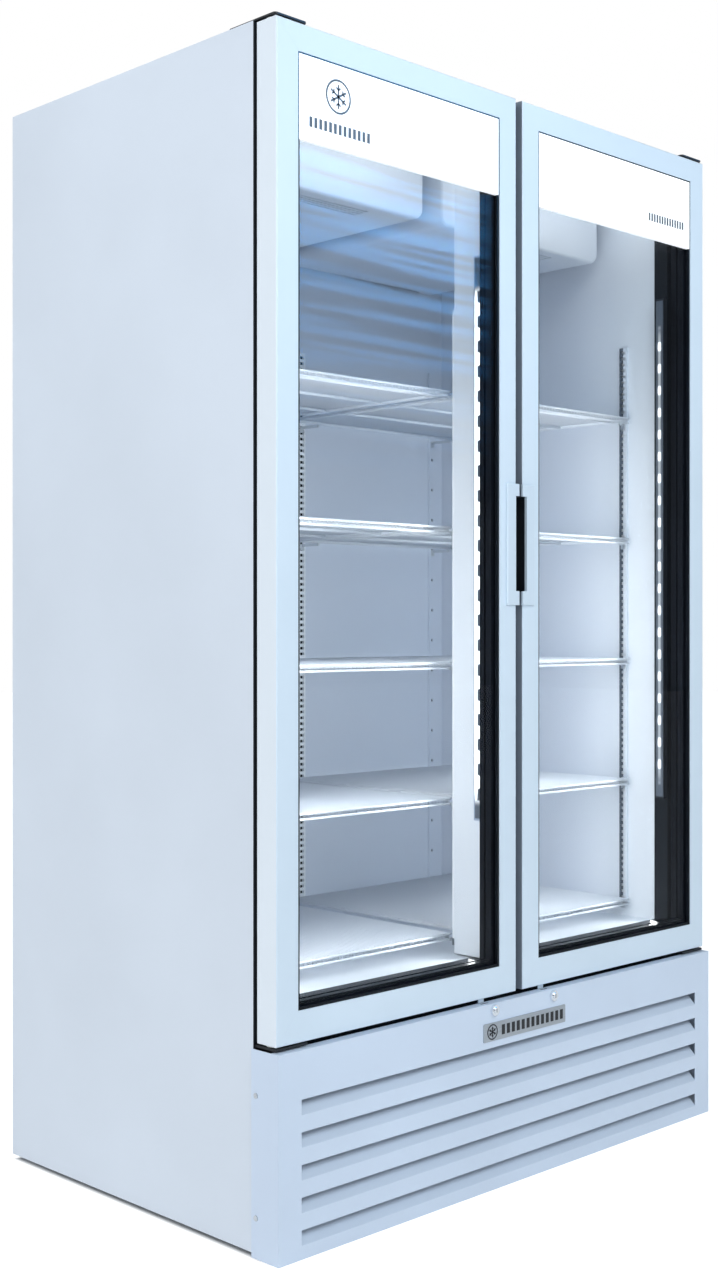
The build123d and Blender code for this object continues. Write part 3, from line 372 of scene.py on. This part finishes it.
FIRST_LAMP = lamp_low.z + LAMP_SIZE / 2
LAST_LAMP = lamp_high.z - LAMP_SIZE / 2
LAMP_PITCH = (LAST_LAMP - FIRST_LAMP) / (LAMPS - 1)


def door_paint():
    """The doors' paint, with a painted highlight and a painted shade: paler on their outer side faces, where
    the side light falls, and dark on their meeting edges, the shade in the gap between the doors.
    """
    paint = dull(coated("door_paint", SKY, 0.34), 0.36)
    # painted highlight: the outer side faces paler, as if lit from the side
    paint = near_and_far(paint, (0.88, 0.92, 0.96), door_high.x - DOOR_SIDE_SKIN)
    # painted shade: the meeting edges dark, as the gap between the doors is in shade
    return near_and_far(paint, (0.30, 0.34, 0.40), door_low.x + SKIN, "LESS_THAN")


def standard_paint():
    """The shelf standards: white by the mullion, the back wall's painted shade further out at the back, and
    at the sides a painted highlight on their front half and a painted shade on their rear half.
    """
    paint = near_and_far(coated("pilaster", (0.97, 0.98, 1.0), 0.35, 400.0), BACK_WALL_SHADE, NEAR_MULLION)
    tree = paint.node_tree
    rear_half = calculate(tree, "GREATER_THAN", place_on(tree)[1], SIDE_STANDARD_Y)
    # painted light and shade: a side standard's front half lit, its rear half in shade
    far = blend_colours(tree, rear_half, (0.80, 0.84, 0.90), (0.10, 0.12, 0.15))
    return near_and_far(paint, far, SIDE_WALL)


MATERIALS = {
    # its front face is painted black, a painted shade in the seam between the doors and the cabinet
    "cabinet_paint": two_tone(coated("cabinet_paint", CABINET_WHITE, 0.42), BLACK, SEAM_SHADE_FACE_Y, "LESS_THAN"),
    "door_paint": door_paint(),
    "grille_paint": coated("grille_paint", (0.70, 0.78, 0.90), 0.38),
    "galvanised": spangle("galvanised", (0.62, 0.64, 0.67)),
    "foam": coated("foam", (0.86, 0.78, 0.55), 0.9, 160.0, 0.6, 0.08),
    # the liner is painted darker towards the back, a painted shade
    "liner_white": shaded_towards_back("liner_white", LINER_WHITE, BACK_WALL_SHADE, *LINER_SHADE_DEPTHS),
    "black_plastic": dull(coated("black_plastic", BLACK, 0.3, 300.0, 0.02, 0.2), 0.12),
    "handle_plastic": two_tone(coated("handle_plastic", shade(SKY, 0.96), 0.32, 600.0),
                               (0.030, 0.036, 0.045), HANDLE_PLATE_BACK),
    "header_white": backlit("header_white", (0.95, 0.96, 0.98), 0.55, *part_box("right_door_header_panel"),
                            HEADER_LINE),
    "gasket_rubber": coated("gasket_rubber", (0.012, 0.015, 0.022), 0.62, 700.0, 0.15, 0.2),
    "bushing_nylon": coated("bushing_nylon", (0.78, 0.78, 0.74), 0.45, 500.0, 0.05),
    "hinge_black": coated("hinge_black", (0.012, 0.012, 0.014), 0.42, 900.0, 0.2, 0.2),
    "lock_chrome": brushed("lock_chrome", (0.85, 0.87, 0.90), 0.14, "Y", 500.0),
    "zinc": brushed("zinc", (0.66, 0.68, 0.70), 0.34, "X", 420.0),
    "pilaster_white": coated("pilaster_white", CABINET_WHITE, 0.36, 500.0, 0.05),
    "badge_metal": brushed("badge_metal", (0.50, 0.53, 0.56), 0.34, "X", 900.0),
    "shelf_coating": coated("shelf_coating", (0.86, 0.88, 0.92), 0.3, 700.0, 0.08),
    "led_board": coated("led_board", (0.72, 0.76, 0.80), 0.5, 500.0, 0.05),
    "led_chip": glow("led_chip", (1.0, 0.98, 0.94), 14.0),
    "coil_aluminium": brushed("coil_aluminium", (0.70, 0.72, 0.74), 0.36, "Z", 300.0),
    "fan_plastic": coated("fan_plastic", (0.02, 0.02, 0.022), 0.4, 300.0, 0.1, 0.2),
    "motor_metal": coated("motor_metal", (0.09, 0.095, 0.10), 0.45, 250.0, 0.2, 0.1),
    "compressor_black": coated("compressor_black", (0.012, 0.012, 0.013), 0.3, 200.0, 0.2, 0.2, 0.3),
    "pan_plastic": coated("pan_plastic", (0.05, 0.052, 0.056), 0.5, 300.0, 0.1, 0.1),
    "control_grey": coated("control_grey", (0.30, 0.33, 0.37), 0.42, 420.0, 0.1),
    "copper": brushed("copper", (0.72, 0.36, 0.20), 0.28, "Z", 200.0),
    "glass": clear_glass("glass", (0.94, 0.955, 0.965), 0.005, 0.16),
    "led_lens": lit_lens("led_lens", FIRST_LAMP, LAMP_PITCH, LAST_LAMP, NEAR_MULLION,
                         (lamp_low.y + lamp_high.y) / 2, LENS_LIGHT),
    "emblem_ink": coated("emblem_ink", (0.13, 0.135, 0.14), 0.4),
    "led_channel": near_and_far(coated("led_channel", (0.42, 0.50, 0.62), 0.35, 400.0), BLACK,
                                NEAR_MULLION),
    "pilaster": standard_paint(),
}


SHARP_ANGLE = math.radians(35)
SAME_POINT = 0.01 * MM


def finish_cad(node, material, edge):
    """Gives a CAD node its finish, and softens its sharp edges with modifiers only."""
    obj = nodes[node]
    obj.data.materials.clear()
    obj.data.materials.append(material)
    if edge:
        weld = obj.modifiers.new("weld", "WELD")
        weld.merge_threshold = SAME_POINT
        soft = obj.modifiers.new("soft_edges", "BEVEL")
        soft.width = edge
        soft.segments = 2
        soft.limit_method = "ANGLE"
        soft.angle_limit = SHARP_ANGLE
        soft.harden_normals = True
        soft.use_clamp_overlap = True


# Edge softening by node; the other nodes stay sharp.
EDGES = {
    "left_side_panel": 0.5 * MM, "right_side_panel": 0.5 * MM, "top_panel": 0.5 * MM,
    "left_door_frame": 0.5 * MM, "right_door_frame": 0.5 * MM, "grille_panel": 0.5 * MM,
    "top_hinges": 0.8 * MM, "bottom_hinges": 0.8 * MM, "mullion": 1.2 * MM,
    "badge_plate": 0.5 * MM, "compressor": 1.5 * MM, "control_box": 0.5 * MM,
    "levelling_feet": 0.8 * MM, "grille_screws": 0.6 * MM,
}
FINISHES = {"led_channels": "led_channel", "pilasters": "pilaster"}     # where one slot needs two finishes
for row in frame["record"]["subparts"]:
    finish = FINISHES.get(row["node"], row["material_slot"])
    finish_cad(row["node"], MATERIALS[finish], EDGES.get(row["node"], 0))


# ---------------------------------------------------------------- mesh helpers
def add_mesh(name, vertices, faces, material, body, smooth=True):
    """A new piece from vertices and faces in the row frame."""
    mesh = bpy.data.meshes.new(name)
    mesh.from_pydata(vertices, [], faces)
    mesh.materials.append(material)
    mesh.update()
    obj = bpy.data.objects.new(name, mesh)
    bpy.context.scene.collection.objects.link(obj)
    if smooth:
        mesh.polygons.foreach_set("use_smooth", [True] * len(mesh.polygons))
    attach(obj, body)
    return obj


def rod(vertices, faces, points, radius, sides=10):
    """Adds a closed round rod along a polyline of points to a vertex and face list."""
    points = [Vector(p) for p in points]
    first = len(vertices)
    count = len(points)
    for i, point in enumerate(points):
        before = points[max(i - 1, 0)]
        after = points[min(i + 1, count - 1)]
        along = (after - before).normalized()
        side = along.cross(Vector((0, 0, 1)))
        if side.length < 0.1:
            side = along.cross(Vector((0, 1, 0)))
        side.normalize()
        up = side.cross(along)
        for k in range(sides):
            angle = 2 * math.pi * k / sides
            vertices.append(point + radius * (math.cos(angle) * side + math.sin(angle) * up))
    for i in range(count - 1):
        for k in range(sides):
            a = first + i * sides + k
            b = first + i * sides + (k + 1) % sides
            faces.append((a, b, b + sides, a + sides))
    faces.append(tuple(first + k for k in reversed(range(sides))))
    faces.append(tuple(first + (count - 1) * sides + k for k in range(sides)))


def flat_bar(vertices, faces, start, end, width, front, back):
    """Adds a thin bar between two (x, z) points to a vertex and face list."""
    ax, az = start
    bx, bz = end
    length = math.hypot(bx - ax, bz - az)
    px, pz = -(bz - az) / length * width / 2, (bx - ax) / length * width / 2
    first = len(vertices)
    for y in (front, back):
        vertices.extend([(ax + px, y, az + pz), (ax - px, y, az - pz), (bx - px, y, bz - pz),
                         (bx + px, y, bz + pz)])
    for face in ((0, 1, 2, 3), (7, 6, 5, 4), (0, 4, 5, 1), (1, 5, 6, 2), (2, 6, 7, 3), (3, 7, 4, 0)):
        faces.append(tuple(first + k for k in face))


# ---------------------------------------------------------------- wire shelves
SHELF_WIRE_R = 1.5 * MM
SHELF_ROD_R = 3.0 * MM
ROD_SINK = 0.3 * MM          # how far the wires are welded into the rods
ROD_SHARES = (0.36, 0.68)    # where the two middle cross rods lie in the depth
FIRST_ROD = 40 * MM          # and the front one
SIDE_ROD_START = 6 * MM
WIRE_PITCH = 9.0 * MM
WIRE_BACK_GAP = 0.5 * MM
WIRE_BEND = 2.5 * MM
LIP_GAP = 9.7 * MM           # between the middles of the two front rods
LIP_ROD_R = 2.2 * MM
SHELF_INNER_X = 26 * MM      # a shelf's end by the mullion
SHELF_PAIRS = 5


def wire_shelf(vertices, faces, low, high):
    """One wire shelf in the box low to high: wires over rods, bent down behind a double front rod."""
    top = high.z
    wire_z = top - SHELF_WIRE_R
    rod_z = top - 2 * SHELF_WIRE_R - SHELF_ROD_R + ROD_SINK
    x0, x1 = low.x + SHELF_ROD_R, high.x - SHELF_ROD_R
    y0, y1 = low.y + SHELF_ROD_R, high.y - SHELF_ROD_R
    count = round((x1 - x0) / WIRE_PITCH)
    lip_y = low.y + LIP_ROD_R
    front = lip_y + LIP_ROD_R + 0.6 * SHELF_WIRE_R
    for i in range(count + 1):
        x = x0 + (x1 - x0) * i / count
        path = [(x, high.y - WIRE_BACK_GAP, wire_z), (x, front + WIRE_BEND, wire_z),
                (x, front, wire_z - WIRE_BEND), (x, front, top - LIP_ROD_R - LIP_GAP)]
        rod(vertices, faces, path, SHELF_WIRE_R, 6)
    for y in (y0 + FIRST_ROD, *(y0 + (y1 - y0) * share for share in ROD_SHARES), y1):
        rod(vertices, faces, [(low.x, y, rod_z), (high.x, y, rod_z)], SHELF_ROD_R)
    for z in (top - LIP_ROD_R, top - LIP_ROD_R - LIP_GAP):
        rod(vertices, faces, [(low.x, lip_y, z), (high.x, lip_y, z)], LIP_ROD_R)
    for x in (x0, x1):
        rod(vertices, faces, [(x, low.y + SIDE_ROD_START, rod_z), (x, high.y, rod_z)], SHELF_ROD_R)


def build_shelves():
    """Fine wire shelves in the boxes of the CAD shelf pairs, one to each side of the mullion."""
    for number in range(1, SHELF_PAIRS + 1):
        node = f"shelf_pair_{number}"
        low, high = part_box(node)
        vertices, faces = [], []
        wire_shelf(vertices, faces, Vector((SHELF_INNER_X, low.y, low.z)), high)
        wire_shelf(vertices, faces, low, Vector((-SHELF_INNER_X, high.y, high.z)))
        piece = add_mesh(f"wire_shelves_{number}", vertices, faces, MATERIALS["shelf_coating"],
                         "cabinet")
        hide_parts(node)


build_shelves()


# ---------------------------------------------------------------- printed marks
RING_STEPS = 36
ARMS = 6
ARM_SHARE = 0.74             # of the ring's radius
TWIG_ROOT = 0.55             # of the arm
TWIG_LENGTH = 0.32
TWIG_TURN = 0.9
TWIG_WIDTH = 0.8             # of the arm's width
BLOCK_WIDTH = 0.6            # of the blocks' pitch


def snowflake(vertices, faces, middle, radius, width, front, back):
    """A plain six-armed snowflake in a ring."""
    cx, cz = middle
    for k in range(RING_STEPS):
        a, b = 2 * math.pi * k / RING_STEPS, 2 * math.pi * (k + 1) / RING_STEPS
        flat_bar(vertices, faces, (cx + radius * math.cos(a), cz + radius * math.sin(a)),
                 (cx + radius * math.cos(b), cz + radius * math.sin(b)), width, front, back)
    arm = radius * ARM_SHARE
    for k in range(ARMS):
        angle = math.pi / 6 + k * 2 * math.pi / ARMS
        ux, uz = math.cos(angle), math.sin(angle)
        flat_bar(vertices, faces, (cx, cz), (cx + arm * ux, cz + arm * uz), width, front, back)
        for turn in (-TWIG_TURN, TWIG_TURN):
            vx, vz = math.cos(angle + turn), math.sin(angle + turn)
            root = (cx + arm * TWIG_ROOT * ux, cz + arm * TWIG_ROOT * uz)
            tip = (root[0] + arm * TWIG_LENGTH * vx, root[1] + arm * TWIG_LENGTH * vz)
            flat_bar(vertices, faces, root, tip, width * TWIG_WIDTH, front, back)


def row_of_blocks(vertices, faces, left, right, z, count, height, front, back):
    """A row of plain upright blocks between left and right."""
    pitch = (right - left) / (count - 1)
    for k in range(count):
        x = left + k * pitch
        flat_bar(vertices, faces, (x, z - height / 2), (x, z + height / 2), BLOCK_WIDTH * pitch, front, back)


INK_FRONT = 0.10 * MM        # in front of the header panel
INK_BACK = 0.02 * MM
EMBLEM_IN = 90 * MM          # from the left header panel's corner to the snowflake's middle
EMBLEM_DOWN = 54 * MM
EMBLEM_RADIUS = 27 * MM
EMBLEM_LINE = 3.6 * MM
LEFT_ROW = (28 * MM, 160 * MM)      # its first and last block, from the panel's left edge
LEFT_ROW_DOWN = 54 * MM             # below the snowflake's middle
LEFT_BLOCKS = 13
LEFT_BLOCK_HEIGHT = 17 * MM
RIGHT_ROW = (143 * MM, 27 * MM)     # its first and last block, from the panel's right edge
RIGHT_ROW_UP = 43 * MM
RIGHT_BLOCKS = 14
RIGHT_BLOCK_HEIGHT = 16 * MM


def build_header_marks():
    """A generic cold-drinks pictogram over a row of blocks on the left header, and blocks on the right."""
    low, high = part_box("left_door_header_panel")
    front, back = low.y - INK_FRONT, low.y - INK_BACK
    middle = (low.x + EMBLEM_IN, high.z - EMBLEM_DOWN)
    vertices, faces = [], []
    snowflake(vertices, faces, middle, EMBLEM_RADIUS, EMBLEM_LINE, front, back)
    row_of_blocks(vertices, faces, low.x + LEFT_ROW[0], low.x + LEFT_ROW[1], middle[1] - LEFT_ROW_DOWN,
                  LEFT_BLOCKS, LEFT_BLOCK_HEIGHT, front, back)
    add_mesh("left_header_mark", vertices, faces, MATERIALS["emblem_ink"], "left_door",
             smooth=False)
    low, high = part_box("right_door_header_panel")
    vertices, faces = [], []
    row_of_blocks(vertices, faces, high.x - RIGHT_ROW[0], high.x - RIGHT_ROW[1], low.z + RIGHT_ROW_UP,
                  RIGHT_BLOCKS, RIGHT_BLOCK_HEIGHT, front, back)
    add_mesh("right_header_mark", vertices, faces, MATERIALS["emblem_ink"], "right_door",
             smooth=False)


RIB_HEIGHT = 0.35 * MM       # how far the badge's marks stand out
RIBS = 13
RIB_LENGTH = 18 * MM
RIBS_FROM_LEFT = 54 * MM
RIBS_FROM_RIGHT = 12 * MM
BADGE_FLAKE_IN = 24 * MM
BADGE_FLAKE_RADIUS = 13 * MM
BADGE_FLAKE_LINE = 2.2 * MM


def build_badge_ribs():
    """Short upright ribs and a small snowflake, raised on the blank badge."""
    low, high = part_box("badge_plate")
    front, back = low.y - RIB_HEIGHT, low.y
    middle = (low.z + high.z) / 2
    vertices, faces = [], []
    row_of_blocks(vertices, faces, low.x + RIBS_FROM_LEFT, high.x - RIBS_FROM_RIGHT, middle, RIBS,
                  RIB_LENGTH, front, back)
    snowflake(vertices, faces, (low.x + BADGE_FLAKE_IN, middle), BADGE_FLAKE_RADIUS, BADGE_FLAKE_LINE,
              front, back)
    add_mesh("badge_ribs", vertices, faces, MATERIALS["hinge_black"], "cabinet", smooth=False)


build_header_marks()
build_badge_ribs()


# ---------------------------------------------------------------- painted shade strips in the rear standards
REAR_STANDARDS = (-0.511, -0.093, 0.093, 0.511)
SHADE_STRIP_WIDTH = 5 * MM
SHADE_STRIP_INSET = 2 * MM               # from the ends of the standards
SHADE_STRIP_FACES = (3.2 * MM, 2.2 * MM)         # its front and back, from the back of the standards


def build_standard_shade_strips():
    """Painted shade: dark strips inside the rear standards, so that their slots and holes read as shaded
    openings.
    """
    low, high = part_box("pilasters")
    front, back = (high.y - inset for inset in SHADE_STRIP_FACES)
    vertices, faces = [], []
    for x in REAR_STANDARDS:
        flat_bar(vertices, faces, (x, low.z + SHADE_STRIP_INSET), (x, high.z - SHADE_STRIP_INSET), SHADE_STRIP_WIDTH,
                 front, back)
    add_mesh("standard_shade_strips", vertices, faces, MATERIALS["black_plastic"], "cabinet",
             smooth=False)


build_standard_shade_strips()


# ---------------------------------------------------------------- lighting, floor, camera
ROOM_TINT = (0.80, 0.90, 1.0)
ROOM_LIGHT = 0.26
FLOOR_SIZE = 40
FLOOR_GREY = (0.80, 0.82)
FLOOR_GLOW = 0.25            # what the floor adds to the light on the object
FLOOR_SEEN = 0.9             # and how bright it looks to the eye
UNDER_EDGE = 8 * MM          # how softly the floor's own light ends under the cabinet
UNDER_SHIFT = 25 * MM
LEFT_PLACE = (-4.2, 0.6, 2.7)
LEFT_TARGET = (-0.6, 0.0, 1.3)
LEFT_SIZE = 3.0
LEFT_POWER = 84
LEFT_TINT = (0.88, 0.94, 1.0)
FRONT_PLACE = (-0.6, -3.4, 3.3)
FRONT_TARGET = (0.0, -0.4, 0.8)
FRONT_SIZE = 2.2
FRONT_POWER = 97
FRONT_TINT = (0.84, 0.93, 1.0)
SIDE_BAR_X = 0.525           # the light bars on the side walls
INNER_BAR_X = 0.05           # and those on the mullion
BAR_AIM_X = 0.5              # how far along X a bar's light is aimed, into its bay
BAR_Y = -0.30
BAR_MIDDLE_Z = 0.90
BAR_AIM_Y = -0.18
BAR_WIDTH = 0.02
BAR_HEIGHT = 1.06
BAR_POWER = 1.45
BAR_BEAM = 124
TOP_PLACE = (0.28, -0.285, 1.90)     # a lamp over each bay, just behind its header
TOP_TARGET = (0.28, -0.155, 1.80)
TOP_SIZE = (0.46, 0.05)
TOP_POWER = 0.27
TOP_TINT = (0.97, 0.99, 1.0)
SKY_CARD = (2.6, 4.7, 1.7, 5.0, -4.3)        # left, right, low, high and the Y it stands at
SKY_CARD_COLOUR = (0.10, 0.44, 0.95)
SKY_CARD_LIGHT = 18.0
SKY_RISE = 0.55              # the share of the card's height over which it grows bright
SKY_SIDE = 0.5               # the width over which its right side fades out
STREAK_SCALE = 22.0
STREAK_STRETCH = (0.02, 0.02, 1)
STREAK_STEP = (0.40, 0.60)
STREAK_LEVELS = (0.1, 1.15)
CAMERA_PLACE = (-2.3387, -2.328, 1.0172)
CAMERA_TURN = math.radians(-44.53)
CAMERA_LENS = 46.21
CAMERA_RISE = -0.0090        # the vertical lens shift


def area_light(name, place, target, size, power, colour, height=None, beam=180):
    """A square or, with a height, rectangular light that the camera doesn't see."""
    data = bpy.data.lights.new(name, "AREA")
    data.spread = math.radians(beam)
    data.shape = "RECTANGLE"
    data.size = size
    data.size_y = height or size
    data.energy = power
    data.color = colour
    light = bpy.data.objects.new(name, data)
    bpy.context.scene.collection.objects.link(light)
    light.location = place
    light.rotation_euler = (Vector(target) - Vector(place)).to_track_quat("-Z", "Y").to_euler()
    light.visible_camera = False
    return light


def build_sky_card():
    """A cool card beside the set that only shiny faces see, fading out towards its lower edge."""
    left, right, low, high, y = SKY_CARD
    mesh = bpy.data.meshes.new("sky_card")
    corners = [(left, y, low), (right, y, low), (right, y, high), (left, y, high)]
    mesh.from_pydata(corners, [], [(0, 1, 2, 3)])
    card = bpy.data.objects.new("sky_card", mesh)
    bpy.context.scene.collection.objects.link(card)
    material, tree, shader = new_material("sky_card")
    x, _, z = place_on(tree)
    rise = calculate(tree, "MULTIPLY", fade(tree, z, low, low + SKY_RISE * (high - low)),
                     opposite(tree, fade(tree, x, right - SKY_SIDE, right)))
    streaks = fade(tree, noise(tree, STREAK_SCALE, 3.0, STREAK_STRETCH), *STREAK_STEP)
    level = calculate(tree, "MULTIPLY", rise, spread(tree, streaks, *STREAK_LEVELS))
    tree.links.new(ramp(tree, level, (0, 0, 0), SKY_CARD_COLOUR, 0.0, 1.0), shader.inputs["Emission Color"])
    shader.inputs["Emission Strength"].default_value = SKY_CARD_LIGHT
    shader.inputs["Base Color"].default_value = (0, 0, 0, 1)
    mesh.materials.append(material)
    card.visible_camera = False
    card.visible_diffuse = False
    card.visible_shadow = False


def build_world():
    """A white room for the eye that lights the object with dimmer, cooler light."""
    world = bpy.data.worlds.new("studio")
    bpy.context.scene.world = world
    world.use_nodes = True
    tree = world.node_tree
    seen = tree.nodes["Background"]
    seen.inputs["Color"].default_value = (1, 1, 1, 1)
    seen.inputs["Strength"].default_value = 1.0
    light = tree.nodes.new("ShaderNodeBackground")
    light.inputs["Color"].default_value = (*ROOM_TINT, 1)
    light.inputs["Strength"].default_value = ROOM_LIGHT
    path = tree.nodes.new("ShaderNodeLightPath")
    mix = tree.nodes.new("ShaderNodeMixShader")
    tree.links.new(path.outputs["Is Camera Ray"], mix.inputs["Fac"])
    tree.links.new(light.outputs["Background"], mix.inputs[1])
    tree.links.new(seen.outputs["Background"], mix.inputs[2])
    tree.links.new(mix.outputs["Shader"], tree.nodes["World Output"].inputs["Surface"])


def build_floor():
    """A pale floor that gives off soft light of its own, except under the cabinet."""
    bpy.ops.mesh.primitive_plane_add(size=FLOOR_SIZE)
    floor = bpy.context.object
    floor.name = "studio_floor"
    paper, tree, shader = new_material("studio_floor")
    dark, pale = ((grey,) * 3 for grey in FLOOR_GREY)
    tree.links.new(ramp(tree, noise(tree, 30.0), dark, pale), shader.inputs["Base Color"])
    shader.inputs["Roughness"].default_value = 0.9
    shader.inputs["Specular IOR Level"].default_value = 0.1
    x, y, _ = place_on(tree)
    low, high = cad_box
    middle_y = (low[1] + high[1]) / 2 + UNDER_SHIFT
    across = calculate(tree, "SUBTRACT", calculate(tree, "ABSOLUTE", x), high[0] - UNDER_EDGE)
    deep = calculate(tree, "ABSOLUTE", calculate(tree, "SUBTRACT", y, middle_y))
    deep = calculate(tree, "SUBTRACT", deep, (high[1] - low[1]) / 2 - UNDER_EDGE - UNDER_SHIFT)
    outside = fade(tree, calculate(tree, "MAXIMUM", across, deep), -UNDER_EDGE, UNDER_EDGE)
    tree.links.new(ramp(tree, outside, (0, 0, 0), (1, 1, 1), 0.0, 1.0), shader.inputs["Emission Color"])
    eye = tree.nodes.new("ShaderNodeLightPath").outputs["Is Camera Ray"]
    tree.links.new(spread(tree, eye, FLOOR_GLOW, FLOOR_SEEN), shader.inputs["Emission Strength"])
    floor.data.materials.append(paper)


def build_studio():
    """The white room, its floor, the card and two soft boxes."""
    build_world()
    build_floor()
    build_sky_card()
    area_light("left_softbox", LEFT_PLACE, LEFT_TARGET, LEFT_SIZE, LEFT_POWER, LEFT_TINT)
    area_light("front_softbox", FRONT_PLACE, FRONT_TARGET, FRONT_SIZE, FRONT_POWER, FRONT_TINT)


def build_inside_lights():
    """Soft light from the four light bars and the two headers, which the small chips would make grainy."""
    for mark, x, aim in (("LO", -SIDE_BAR_X, BAR_AIM_X), ("RO", SIDE_BAR_X, -BAR_AIM_X),
                         ("LI", -INNER_BAR_X, -BAR_AIM_X), ("RI", INNER_BAR_X, BAR_AIM_X)):
        area_light(f"bar_light_{mark}", (x, BAR_Y, BAR_MIDDLE_Z), (x + aim, BAR_AIM_Y, BAR_MIDDLE_Z),
                   BAR_WIDTH, BAR_POWER, LAMP_COLOUR, BAR_HEIGHT, BAR_BEAM)
    x, y, z = TOP_PLACE
    target_x, target_y, target_z = TOP_TARGET
    width, depth = TOP_SIZE
    for mark, side in (("L", -1), ("R", 1)):
        area_light(f"top_light_{mark}", (side * x, y, z), (side * target_x, target_y, target_z), width,
                   TOP_POWER, TOP_TINT, depth)


def build_camera():
    """The camera fitted to the photo."""
    data = bpy.data.cameras.new("camera")
    data.sensor_fit = "AUTO"
    data.sensor_width = 36.0
    data.lens = CAMERA_LENS
    data.shift_y = CAMERA_RISE
    camera = bpy.data.objects.new("camera", data)
    bpy.context.scene.collection.objects.link(camera)
    camera.location = CAMERA_PLACE
    camera.rotation_euler = (math.radians(90), 0, CAMERA_TURN)
    bpy.context.scene.camera = camera


bpy.context.scene.view_settings.view_transform = "Standard"
build_studio()
build_inside_lights()
build_camera()
